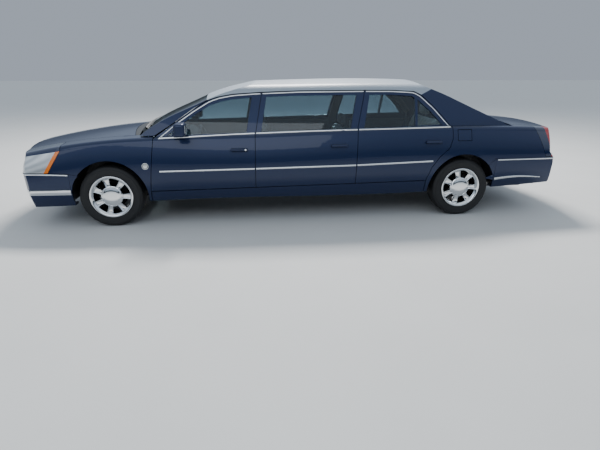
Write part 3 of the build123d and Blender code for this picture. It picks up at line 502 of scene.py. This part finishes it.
# Everything further in than this plane is dark: the disc's own colour, and painted shade on the
# chromed inner rim and the spokes' backs.
disc_and_painted_shade = abs(across) < disc_and_shade_within_y
wheel_metal.mottle(disc_and_painted_shade, bright_wheel, disc_and_shade_dark)
wheel_metal.set("Roughness", 0.04 + disc_and_painted_shade * 0.45 + wheel_metal.noise(80, 2.0) * 0.04)
spoke = bmesh.new()
bmesh.ops.create_cube(spoke, size=1)
radial = [edge for edge in spoke.edges if abs(edge.verts[0].co.x - edge.verts[1].co.x) > 0.5]
bmesh.ops.subdivide_edges(spoke, edges=radial, cuts=5, use_grid_fill=True)
for vertex in spoke.verts:
    share = vertex.co.x + 0.5
    bowed = spoke_front + spoke_bow * (2 * share - 1) ** 2
    vertex.co.x = spoke_from + (spoke_to - spoke_from) * share
    vertex.co.y = bowed if vertex.co.y > 0 else spoke_back
    vertex.co.z *= spoke_width + spoke_flare * share * share
spoke.normal_update()
front = [face for face in spoke.faces if face.normal.y > outwards]
bmesh.ops.inset_region(spoke, faces=front, thickness=rib_width, depth=0, use_even_offset=True)
spoke.normal_update()
dished = {
    vertex
    for face in spoke.faces
    if face.normal.y > outwards
    and min(vertex.co.x for vertex in face.verts) > dish_from
    and max(abs(vertex.co.z) for vertex in face.verts) < dish_half
    for vertex in face.verts
}
bmesh.ops.translate(spoke, vec=(0, -rib_height, 0), verts=list(dished))
creases = [
    edge for edge in spoke.edges
    if len(edge.link_faces) == 2 and edge.calc_face_angle() > sharp_crease
]
bmesh.ops.bevel(
    spoke, geom=creases, offset=spoke_easing, offset_type="OFFSET", affect="EDGES", segments=2,
    profile=0.5, material=-1
)
spoke_mesh = bpy.data.meshes.new("spoke")
spoke.to_mesh(spoke_mesh)
spoke.free()
for corner, centre, side in wheel_corners:
    shape = bmesh.new()
    for ring in (rim_section, cap_section, disc_section):
        turned_ring(shape, ring, wheel_steps)
    for _ in range(spoke_count):
        shape.from_mesh(spoke_mesh)
        spoke_mesh.transform(Matrix.Rotation(math.tau / spoke_count, 4, "Y"))
    seated(shape, centre, side)
    wheel = piece(f"chromed_wheel_{corner}", shape, f"wheel_{corner}", wheel_metal, 35)
    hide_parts(f"rim_{corner}")


# Tyres: black moulded rubber, seated on the wheels, with rings on the wall and three grooves
# round the tread. Each is spun from one half section and its mirror image.
def spun(profile, steps, centre, side):
    """One ring on its own."""
    shape = bmesh.new()
    turned_ring(shape, profile, steps)
    return seated(shape, centre, side)


tyre_half_section = [
    (0.2190, 0.1025), (0.2410, 0.1095), (0.2460, 0.1112), (0.2480, 0.1135), (0.2520, 0.1135),
    (0.2540, 0.1115), (0.2700, 0.1150), (0.2890, 0.1172), (0.3020, 0.1160), (0.3050, 0.1172),
    (0.3090, 0.1168), (0.3110, 0.1135), (0.3230, 0.1085), (0.3330, 0.1025), (0.3390, 0.0970),
    (0.3428, 0.0905), (0.3448, 0.0830), (0.3448, 0.0560), (0.3375, 0.0545), (0.3375, 0.0465),
    (0.3448, 0.0450), (0.3448, 0.0050), (0.3375, 0.0040),
]
tyre_section = tyre_half_section + [(radius, -y) for radius, y in reversed(tyre_half_section)]
tyre_steps = 96
tread_from = 0.337
tread_blocks = 74
tyre_rubber = Finish("tyre_rubber", (0.010, 0.010, 0.011), roughness=0.62)
along, across, height = tyre_rubber.axes()
from_axle = along - front_axle_x - (along > 0) * (rear_axle_x - front_axle_x)
above_axle = height - axle_z
reach = (from_axle ** 2 + above_axle ** 2) ** 0.5
turn = above_axle.maths("ARCTAN2", above_axle, from_axle)
blocks = ((turn * tread_blocks).sine() > 0.55) * (reach > tread_from)
dust = tyre_rubber.noise(35, 4.0)
tyre_rubber.mottle(dust, (0.004, 0.004, 0.005), (0.013, 0.013, 0.014))
tyre_rubber.set("Roughness", 0.52 + dust * 0.25)
tyre_rubber.bump(0.2 * dust - blocks, 0.8, 0.004)
for corner, centre, side in wheel_corners:
    shape = spun(tyre_section, tyre_steps, centre, side)
    tyre = piece(f"ribbed_tyre_{corner}", shape, f"wheel_{corner}", tyre_rubber, 30)
    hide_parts(f"tyre_{corner}")


# Bright mouldings: rolled stainless and chromed plastic strips, crowned across, clipped to
# the doors round the windows, along the belt and the flanks, and round both bumpers.
def skin_trees(nodes):
    """Surfaces of carried-over pieces, to lay strips and badges on."""
    trees = []
    for name in nodes:
        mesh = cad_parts[name].data
        corners = [vertex.co.copy() for vertex in mesh.vertices]
        faces = [tuple(face.vertices) for face in mesh.polygons]
        trees.append(BVHTree.FromPolygons(corners, faces))
    return trees


def landing(trees, start, direction):
    """Where a ray first meets the surfaces, or nothing."""
    hits = [tree.ray_cast(start, direction) for tree in trees]
    hits = [hit for hit in hits if hit[0] is not None]
    return min(hits, key=lambda hit: hit[3])[0] if hits else None


def walled(shape, outward, wall):
    """Turns an open sheet's faces outwards and gives it a wall behind them."""
    shape.normal_update()
    if sum(face.normal.dot(outward) for face in shape.faces) < 0:
        bmesh.ops.reverse_faces(shape, faces=shape.faces[:])
    bmesh.ops.solidify(shape, geom=shape.faces[:], thickness=wall)
    bmesh.ops.recalc_face_normals(shape, faces=shape.faces[:])


def ribbon(name, nodes, path, widths, rise, body, finish, rows=4, flat=False):
    """Crowned strip laid on panels along a path of places and outward directions.

    It is left out where there is nothing under it. A flat strip stands on whatever is
    furthest out under its width, instead of following it.
    """
    trees = skin_trees(nodes)
    last = len(path) - 1
    shape = bmesh.new()
    bmesh.ops.create_grid(shape, x_segments=last, y_segments=rows, size=0.5)
    lost = []
    for vertex in shape.verts:
        step = round((vertex.co.x + 0.5) * last)
        share = vertex.co.y * 2
        place, outward = path[step]
        tangent = path[min(step + 1, last)][0] - path[max(step - 1, 0)][0]
        across = outward.cross(tangent).normalized()
        width = widths[0] + (widths[1] - widths[0]) * step / last
        start = place + across * share * width / 2
        hit = landing(trees, start, -outward)
        if flat:
            below = [
                landing(trees, place + across * edge * width / 2, -outward)
                for edge in (-1, 0, 1)
            ]
            proud = [edge.dot(outward) for edge in below if edge is not None]
            hit = start + outward * (max(proud) - start.dot(outward)) if proud else None
        if hit is None:
            lost.append(vertex)
            continue
        vertex.co = hit + outward * (strip_lift + rise * (1 - share * share))
    if lost:
        bmesh.ops.delete(shape, geom=lost, context="VERTS")
    walled(shape, path[last // 2][1], strip_wall)
    return piece(name, shape, body, finish, 50)


def side_path(points, side):
    """Path seen from the side of the car, from its (x, z) corners, rounded a little."""
    places = []
    for (x0, z0), (x1, z1) in zip(points, points[1:]):
        count = max(2, round(math.hypot(x1 - x0, z1 - z0) / path_step))
        for index in range(count):
            share = index / count
            places.append([x0 + (x1 - x0) * share, z0 + (z1 - z0) * share])
    places.append(list(points[-1]))
    for _ in range(path_rounding):
        inner = [
            [(before[axis] + 2 * here[axis] + after[axis]) / 4 for axis in (0, 1)]
            for before, here, after in zip(places, places[1:], places[2:])
        ]
        places = [places[0], *inner, places[-1]]
    return [(Vector((x, side * outside_y, z)), Vector((0, side, 0))) for x, z in places]


def clipped(points, low, high):
    """The part of a line of (x, z) points between two distances along the car."""
    kept = [point for point in points if low < point[0] < high]
    for limit, front in ((low, True), (high, False)):
        for (x0, z0), (x1, z1) in zip(points, points[1:]):
            if x0 <= limit <= x1:
                cut = (limit, z0 + (z1 - z0) * (limit - x0) / (x1 - x0))
                kept = [cut, *kept] if front else [*kept, cut]
                break
    return kept


strip_lift = 0.0008
strip_wall = 0.003
path_step = 0.018
path_rounding = 3
outside_y = 1.3
window_line = [
    (-1.590, 0.979), (-1.366, 1.149), (-1.200, 1.259), (-1.036, 1.354), (-0.930, 1.391),
    (-0.771, 1.419), (-0.520, 1.436), (-0.023, 1.454), (0.689, 1.459), (1.062, 1.457),
    (1.320, 1.443), (1.398, 1.404), (1.553, 1.268), (1.742, 1.062),
]
belt_line = [(-1.590, 0.984), (-0.535, 1.021), (0.646, 1.049), (1.735, 1.067)]
flank_line = [(-1.600, 0.630), (-0.557, 0.639), (0.591, 0.654), (1.530, 0.684)]
# Each door with the ends of its window, belt and flank strips along the car.
door_trims = [
    ("front_door", (-1.60, -0.462), (-1.58, -0.541), (-1.60, -0.553)),
    ("middle_door", (-0.436, 0.724), (-0.524, 0.630), (-0.538, 0.607)),
    ("rear_door", (0.750, 1.75), (0.646, 1.732), (0.624, 1.525)),
]
for hand, side in hands:
    for door, window_ends, belt_ends, flank_ends in door_trims:
        body = f"{door}_{hand}"
        for trim, line, ends, width, rise in (
            ("window_strip", window_line, window_ends, 0.010, 0.003),
            ("belt_strip", belt_line, belt_ends, 0.016, 0.003),
            ("flank_strip", flank_line, flank_ends, 0.019, 0.006),
        ):
            ribbon(
                f"{door}_{trim}_{hand}", [body, f"{door}_glass_{hand}"],
                side_path(clipped(line, *ends), side), (width, width), rise, body, chrome,
                flat=trim == "belt_strip"
            )


def wrap_path(centre_x, first, last, heights, count=90):
    """Path round the nose or tail, between two bearings, that rises or dips at its middle."""
    path = []
    for index in range(count + 1):
        share = index / count
        bearing = math.radians(first + (last - first) * share)
        outward = Vector((math.cos(bearing), math.sin(bearing), 0))
        height = heights[0] + (heights[1] - heights[0]) * math.sin(math.pi * share)
        path.append((Vector((centre_x, 0, height)) + outward * wrap_reach, outward))
    return path


# Bearings are degrees round these turning points: 180 is straight ahead and 0 straight back.
front_turn_x = -2.50
rear_turn_x = 2.45
wrap_reach = 1.5
for hand, side in hands:
    front_bearings = (180 - side * 86, 180 - side * 33.0)
    ribbon(
        f"front_bumper_strip_{hand}", ["front_bumper"],
        wrap_path(front_turn_x, *front_bearings, (0.606, 0.618)), (0.013, 0.013), 0.004,
        "body", chrome
    )
    lip_bearings = (180 - side * 86, 180 - side * 32.5)
    ribbon(
        f"front_lower_strip_{hand}", ["front_bumper"],
        wrap_path(front_turn_x, *lip_bearings, (0.414, 0.414)), (0.066, 0.060), 0.007,
        "body", chrome, rows=8
    )
    tail_bearings = (side * 97, side * 60)
    ribbon(
        f"rear_lower_strip_{hand}", ["rear_bumper"],
        wrap_path(rear_turn_x, *tail_bearings, (0.444, 0.466)), (0.036, 0.012), 0.005,
        "body", chrome, rows=6
    )
ribbon(
    "rear_bumper_strip", ["rear_bumper"],
    wrap_path(rear_turn_x, -97, 97, (0.680, 0.682), 160), (0.013, 0.013), 0.004,
    "body", chrome
)

# Bumper ends: the painted corners of both bumper covers beside the wheel arches, moulded in
# one with the covers. The front ones fall towards the wheel, below the wing's edge.
panel_wall = 0.018
arch_reach = 0.412
end_low_z = 0.42
end_swell = 0.03
front_top_x = -2.560
front_top_z = 0.618
front_top_fall = 0.2385
rear_cut_x = 1.925
rear_cut_rise = 0.905
for hand, side in hands:
    for end, cover_x, axle_x, way, high_z in (
        ("front", -2.566, front_axle_x, -1, 0.612),
        ("rear", 2.318, rear_axle_x, 1, 0.690),
    ):
        trees = skin_trees([f"{end}_bumper"])
        shape = bmesh.new()
        bmesh.ops.create_grid(shape, x_segments=6, y_segments=12, size=0.5)
        for vertex in shape.verts:
            z = end_low_z + (high_z - end_low_z) * (vertex.co.y + 0.5)
            near_x = axle_x + way * math.sqrt(arch_reach ** 2 - (z - axle_z) ** 2)
            if end == "rear":
                near_x = max(near_x, rear_cut_x + (z - axle_z) / rear_cut_rise)
            x = cover_x + (near_x - cover_x) * (vertex.co.x + 0.5)
            if end == "front":
                top_z = front_top_z - (x - front_top_x) * front_top_fall
                z = end_low_z + (z - end_low_z) * (top_z - end_low_z) / (high_z - end_low_z)
            start = Vector((cover_x + way * 0.010, side * outside_y, min(z, high_z - 0.002)))
            hit = landing(trees, start, Vector((0, -side, 0)))
            vertex.co = (x, hit.y + side * end_swell * abs(x - cover_x), z)
        walled(shape, Vector((0, side, 0)), panel_wall)
        piece(f"{end}_bumper_end_{hand}", shape, "body", paint, 50)

# Tail closing panel: the painted pressing between the boot lid and the bumper, welded to
# both quarter panels, and curved across the car as the lid is.
closing_half = 0.298
corner_y = 0.68
# Its lower and upper edge: height, and distance along the car at the middle and the corner.
closing_low = (0.6985, 3.2015, 3.1318)
closing_high = (0.7445, 3.1460, 3.0850)
shape = bmesh.new()
bmesh.ops.create_grid(shape, x_segments=24, y_segments=3, size=0.5)
for vertex in shape.verts:
    across = vertex.co.x * 2 * closing_half
    share = vertex.co.y + 0.5
    height, middle_x, corner_x = (
        low + (high - low) * share for low, high in zip(closing_low, closing_high)
    )
    vertex.co = (middle_x - (middle_x - corner_x) * (across / corner_y) ** 2, across, height)
walled(shape, Vector((1, 0, 0)), panel_wall)
piece("tail_closing_panel", shape, "body", paint, 50)

# Badges and lock: a plain round medallion on each front wing, die-cast, chromed, with a ring
# of dark enamel, and the key lock at the end of the driver's door handle.
badge_x = -1.747
badge_z = 0.692
badge_bright = (0.70, 0.71, 0.70)
badge_dark = (0.03, 0.035, 0.045)
badge_sunk = 0.002
enamel_inner = 0.0245
enamel_outer = 0.0300
badge_section = [
    (0.0005, 0.000), (0.0365, 0.000), (0.0370, 0.003), (0.0350, 0.0055), (0.0320, 0.0055),
    (0.0300, 0.0040), (0.0240, 0.0042), (0.0220, 0.0060), (0.0190, 0.0060), (0.0170, 0.0046),
    (0.0005, 0.0058),
]
badge_metal = Finish("badge_metal", chrome_light, metallic=1.0, roughness=0.12)
along, across, height = badge_metal.axes()
badge_reach = ((along - badge_x) ** 2 + (height - badge_z) ** 2) ** 0.5
enamel = (badge_reach > enamel_inner) * (badge_reach < enamel_outer)
badge_metal.mottle(enamel, badge_bright, badge_dark)
badge_metal.set("Metallic", 1 - enamel)
for hand, side in hands:
    trees = skin_trees([f"front_fender_{hand}"])
    seat = landing(trees, Vector((badge_x, side * outside_y, badge_z)), Vector((0, -side, 0)))
    shape = spun(badge_section, 48, seat - Vector((0, side * badge_sunk, 0)), side)
    piece(f"wing_medallion_{hand}", shape, "body", badge_metal, 35)
lock_section = [
    (0.0004, 0.0), (0.0105, 0.0), (0.0108, 0.003), (0.0090, 0.0045), (0.0004, 0.0050),
]
lock_sunk = 0.0015
lock_beside = Vector((-0.648, -outside_y, 0.855))
lock_seat = landing(skin_trees(["front_door_left"]), lock_beside, Vector((0, 1, 0)))
shape = spun(lock_section, 24, lock_seat + Vector((0, lock_sunk, 0)), -1)
piece("door_key_lock", shape, "front_door_left", chrome)


# Door mirrors: a silvered glass with rounded corners in the rear face of each painted
# housing, glued to its plate.
def eased_block(size, radius, segments, only_along=False):
    """Block with rounded edges: all of them, or only those that run along the car."""
    shape = bmesh.new()
    bmesh.ops.create_cube(shape, size=1)
    bmesh.ops.scale(shape, vec=size, verts=shape.verts[:])
    edges = [
        edge for edge in shape.edges
        if not only_along or abs(edge.verts[0].co.x - edge.verts[1].co.x) > size[0] / 2
    ]
    bmesh.ops.bevel(
        shape, geom=edges, offset=radius, offset_type="OFFSET", affect="EDGES",
        segments=segments, profile=0.5, material=-1
    )
    return shape


mirror_size = (0.003, 0.150, 0.088)
mirror_corner = 0.026
mirror_x = -1.2705
mirror_y = 1.015
mirror_z = 1.092
mirror_glass = Finish("mirror_silver", (0.80, 0.82, 0.84), metallic=1.0, roughness=0.02)
mirror_glass.set("Roughness", 0.015 + mirror_glass.noise(20, 2.0) * 0.02)
for hand, side in hands:
    shape = eased_block(mirror_size, mirror_corner, 6, only_along=True)
    bmesh.ops.recalc_face_normals(shape, faces=shape.faces[:])
    bmesh.ops.translate(shape, vec=(mirror_x, side * mirror_y, mirror_z), verts=shape.verts[:])
    piece(f"mirror_glass_{hand}", shape, f"front_door_{hand}", mirror_glass)


# Wipers: black steel arms and rubber blades, parked along the foot of the windscreen. Cowl
# and wheel liners are moulded in the same satin black.
def wiper_path(y_from, y_to, reach_from, reach_to, count=40):
    """Path over the windscreen, at distances from its centre of curvature."""
    path = []
    for index in range(count + 1):
        share = index / count
        y = y_from + (y_to - y_from) * share
        reach = reach_from + (reach_to - reach_from) * share
        x = wiper_turn_x - math.sqrt(reach * reach - y * y)
        path.append((Vector((x, y, wiper_z)) + wiper_up * wiper_clear, wiper_up))
    return path


black_satin = Finish("black_satin", (0.010, 0.010, 0.011), roughness=0.42)
satin_grain = black_satin.noise(240, 3.0)
black_satin.mottle(satin_grain, (0.007, 0.007, 0.008), (0.016, 0.016, 0.017))
black_satin.bump(satin_grain, 0.2, 0.0008)
dress(black_satin, "cowl", "wheel_liners")
wiper_turn_x = 1.300
wiper_z = 1.08
wiper_clear = 0.3
blade_reaches = (3.060, 3.035)
arm_reaches = (3.128, 3.052)
wiper_up = Vector((-0.45, 0, 0.893)).normalized()
wiper_bed = ["windscreen", "cowl", "hood"]
for name, y_from, y_to in (("driver", -0.62, -0.06), ("passenger", 0.02, 0.56)):
    ribbon(
        f"wiper_blade_{name}", wiper_bed, wiper_path(y_from, y_to, *blade_reaches),
        (0.016, 0.016), 0.012, "body", black_satin
    )
    ribbon(
        f"wiper_arm_{name}", wiper_bed,
        wiper_path(y_from + 0.02, (y_from + y_to) / 2, *arm_reaches),
        (0.022, 0.014), 0.018, "body", black_satin
    )


# Seats: foam cushions and backrests under soft grey leather, one bench for each row, with
# sewn channels, and separate headrests. The covers swell under their filling.
def grown(block, cap):
    """Lets a closed cover swell under inner pressure, each point no further than cap."""
    scene = bpy.context.scene
    cloth = block.modifiers.new("swell", "CLOTH")
    cloth.settings.quality = 4
    cloth.settings.use_pressure = True
    cloth.settings.uniform_pressure_force = swell_pressure
    cloth.settings.effector_weights.gravity = 0
    cloth.point_cache.frame_start = 1
    cloth.point_cache.frame_end = swell_frames
    for moment in range(1, swell_frames + 1):
        scene.frame_set(moment)
    swollen = block.evaluated_get(bpy.context.evaluated_depsgraph_get()).to_mesh()
    moved = [vertex.co.copy() for vertex in swollen.vertices]
    block.modifiers.remove(cloth)
    scene.frame_set(1)
    for vertex, place in zip(block.data.vertices, moved):
        shift = place - vertex.co
        if shift.length > cap:
            shift *= cap / shift.length
        vertex.co += shift


def baked(block):
    """Applies whatever modifiers a block has."""
    shown = block.evaluated_get(bpy.context.evaluated_depsgraph_get())
    mesh = bpy.data.meshes.new_from_object(shown)
    block.modifiers.clear()
    block.data = mesh


def stuffed(name, size, lean, place, soften, voxel, cap, channels=(), depth=0.0):
    """Padded block: eased, remeshed, swollen, sewn in channels and made smooth."""
    shape = eased_block(size, soften, 4)
    mesh = bpy.data.meshes.new(name)
    shape.to_mesh(mesh)
    shape.free()
    block = linked(name, mesh)
    remesh = block.modifiers.new("weave", "REMESH")
    remesh.mode = "VOXEL"
    remesh.voxel_size = voxel
    baked(block)
    grown(block, cap)
    shape = bmesh.new()
    shape.from_mesh(block.data)
    shape.normal_update()
    for vertex in shape.verts if channels else ():
        near = min(abs(vertex.co.y - channel) for channel in channels)
        shown = max(0.0, max(-vertex.normal.x, vertex.normal.z))
        sunk = depth * shown * math.exp(-(near / channel_width) ** 2)
        vertex.co -= vertex.normal * sunk
    bmesh.ops.smooth_vert(
        shape, verts=shape.verts[:], factor=0.3, use_axis_x=True, use_axis_y=True,
        use_axis_z=True
    )
    turn = Matrix.Rotation(lean, 3, "Y")
    bmesh.ops.rotate(shape, cent=(0, 0, 0), matrix=turn, verts=shape.verts[:])
    bmesh.ops.translate(shape, vec=place, verts=shape.verts[:])
    shape.to_mesh(block.data)
    shape.free()
    block.modifiers.new("smooth", "SUBSURF").levels = 1
    block.modifiers["smooth"].render_levels = 1
    baked(block)
    block.data.shade_smooth()
    return block


def copied(block, name, shift):
    """Another block of the same make, moved along."""
    shape = bmesh.new()
    shape.from_mesh(block.data)
    bmesh.ops.translate(shape, vec=shift, verts=shape.verts[:])
    mesh = bpy.data.meshes.new(name)
    shape.to_mesh(mesh)
    shape.free()
    mesh.shade_smooth()
    return linked(name, mesh)


def upholstered(block, row):
    """Covers a padded block in leather, in the place of its row's plain seat."""
    block.data.materials.clear()
    block.data.materials.append(hide.material)
    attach(block, "body")
    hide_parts(row)


hide_light = (0.34, 0.33, 0.31)
hide_dark = (0.24, 0.23, 0.215)
hide = Finish("seat_leather", hide_light, roughness=0.45, sheen_weight=0.15)
pores = hide.pebbles(420)
wrinkles = hide.noise(14, 4.0)
hide.mottle(wrinkles, hide_dark, hide_light)
hide.set("Roughness", 0.38 + pores * 0.25)
hide.bump(pores + wrinkles * 0.8, 0.3, 0.0015)
swell_frames = 20
swell_pressure = 4
channel_width = 0.010
channel_depth = 0.012
channel_count = 12
bench_soften = 0.045
bench_voxel = 0.016
bench_swell = 0.022
cushion_lean = math.radians(6)
back_lean = math.radians(22)
headrest_back = 0.222
headrest_size = (0.078, 0.235, 0.135)
headrest_block = stuffed(
    "headrest_pattern", headrest_size, 0.0, (0, 0, 0), 0.026, 0.009, 0.008
)
# Each row with its hip point along the car, its base's height, its width and its headrests.
seat_rows = [
    ("front_seat", -0.640, 0.300, 1.340, (-0.375, 0.375)),
    ("middle_seat", 0.470, 0.300, 1.340, (-0.375, 0.375)),
    ("rear_seat", 1.640, 0.430, 1.220, (-0.330, 0.330)),
]
made_benches = {}
for row, hip_x, base_z, width, headrests in seat_rows:
    if width in made_benches:
        first_x, first_cushion, first_back = made_benches[width]
        shift = (hip_x - first_x, 0, 0)
        cushion = copied(first_cushion, f"{row}_cushion", shift)
        back = copied(first_back, f"{row}_back", shift)
    else:
        channel_gap = width / channel_count
        channels = [channel_gap * index for index in range(-5, 6)]
        cushion = stuffed(
            f"{row}_cushion", (0.440, width - 0.02, 0.135), cushion_lean,
            (hip_x - 0.262, 0, base_z + 0.125), bench_soften, bench_voxel, bench_swell,
            channels, channel_depth
        )
        back = stuffed(
            f"{row}_back", (0.120, width - 0.02, 0.540), back_lean,
            (hip_x + 0.118, 0, base_z + 0.412), bench_soften, bench_voxel, bench_swell,
            channels, channel_depth
        )
        made_benches[width] = (hip_x, cushion, back)
    upholstered(cushion, row)
    upholstered(back, row)
    for (hand, side), y in zip(hands, headrests):
        place = (hip_x + headrest_back, y, base_z + 0.742)
        upholstered(copied(headrest_block, f"{row}_headrest_{hand}", place), row)
bpy.data.objects.remove(headrest_block)

# Seat frames: a carpeted plinth under each bench, bolted to the floor, and two chromed steel
# pins under each headrest, pushed into the backrest.
plinth_inset = 0.10
pin_radius = 0.006
pin_length = 0.07
pin_half_gap = 0.06
plinth_trim = Finish("seat_plinth", (0.05, 0.05, 0.05), roughness=0.85)
plinth_pile = plinth_trim.noise(900, 2.0)
plinth_trim.mottle(plinth_pile, (0.03, 0.03, 0.032), (0.08, 0.08, 0.082))
plinth_trim.bump(plinth_pile, 0.5, 0.002)
for row, hip_x, base_z, width, headrests in seat_rows:
    shape = eased_block((0.36, width - plinth_inset, 0.048), 0.012, 3)
    place = (hip_x - 0.145, 0, base_z + 0.030)
    bmesh.ops.translate(shape, vec=place, verts=shape.verts[:])
    plinth = piece(f"{row}_plinth", shape, "body", plinth_trim)
    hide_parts(row)
    shape = bmesh.new()
    for y in headrests:
        for offset in (-pin_half_gap, pin_half_gap):
            place = (hip_x + headrest_back, y + offset, base_z + 0.672)
            bmesh.ops.create_cone(
                shape, cap_ends=True, segments=16, radius1=pin_radius, radius2=pin_radius,
                depth=pin_length, matrix=Matrix.Translation(place)
            )
    pins = piece(f"{row}_headrest_pins", shape, "body", chrome)
    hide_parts(row)

# Instrument panel and steering wheel: dark moulded plastic with a leather grain, screwed to
# the bulkhead and to the steering column.
moulded = Finish("panel_plastic", (0.030, 0.030, 0.032), roughness=0.55)
moulded_grain = moulded.pebbles(520)
moulded.mottle(moulded.noise(8, 2.0), (0.024, 0.024, 0.026), (0.042, 0.042, 0.045))
moulded.bump(moulded_grain, 0.3, 0.001)
dress(moulded, "dashboard", "steering_wheel")

# Inner frame and bulkheads: welded pressings, painted and trimmed in dark grained plastic,
# plainer than what shows outside.
inner_trim = Finish("inner_trim", (0.06, 0.06, 0.062), roughness=0.6)
trim_grain = inner_trim.noise(300, 3.0)
inner_trim.mottle(trim_grain, (0.045, 0.045, 0.048), (0.085, 0.085, 0.088))
inner_trim.bump(trim_grain, 0.25, 0.001)
dress(inner_trim, *pair("inner_frame"), "rear_bulkhead", "firewall")

# Floor pan: a steel pressing, sealed black below and carpeted in dark blue-grey above, with
# the carpet glued down.
sealed_low = (0.010, 0.010, 0.010)
sealed_high = (0.018, 0.018, 0.018)
carpet_blue = (0.045, 0.05, 0.062)
carpet = Finish("floor_carpet", (0.03, 0.035, 0.045), roughness=0.9)
facing_up = carpet.facing()[2] > 0.5
pile = carpet.noise(700, 3.0)
sealed = carpet.blend(pile, sealed_low, sealed_high)
carpet.set("Base Color", carpet.blend(facing_up, sealed, carpet_blue))
carpet.bump(pile, 0.6, 0.003)
dress(carpet, "floor")

# Underside: sealed steel members, cast suspension parts, an aluminium engine, a plastic
# tank and a dull steel exhaust, all lightly soiled.
# Each finish with its dull and bright colour, metallic share, roughness and pieces.
soiled = [
    ("underbody_steel", (0.013, 0.013, 0.013), (0.030, 0.029, 0.027), 0.2, 0.7,
     ["front_structure", "rear_structure"]),
    ("cast_iron", (0.030, 0.028, 0.027), (0.075, 0.062, 0.052), 0.8, 0.6,
     ["front_suspension", "rear_suspension", *pair("knuckle")]),
    ("tank_plastic", (0.012, 0.012, 0.013), (0.022, 0.022, 0.022), 0.0, 0.5, ["fuel_tank"]),
    ("engine_aluminium", (0.30, 0.30, 0.29), (0.48, 0.48, 0.47), 1.0, 0.45, ["engine"]),
    ("exhaust_steel", (0.22, 0.20, 0.18), (0.42, 0.41, 0.39), 1.0, 0.4, ["exhaust"]),
]
for name, dull, bright, metallic, roughness, nodes in soiled:
    rough = Finish(name, bright, metallic=metallic, roughness=roughness)
    soil = rough.noise(24, 5.0)
    rough.mottle(soil, dull, bright)
    rough.set("Roughness", roughness - 0.1 + soil * 0.3)
    rough.bump(rough.noise(380, 2.0), 0.3, 0.001)
    dress(rough, *nodes)
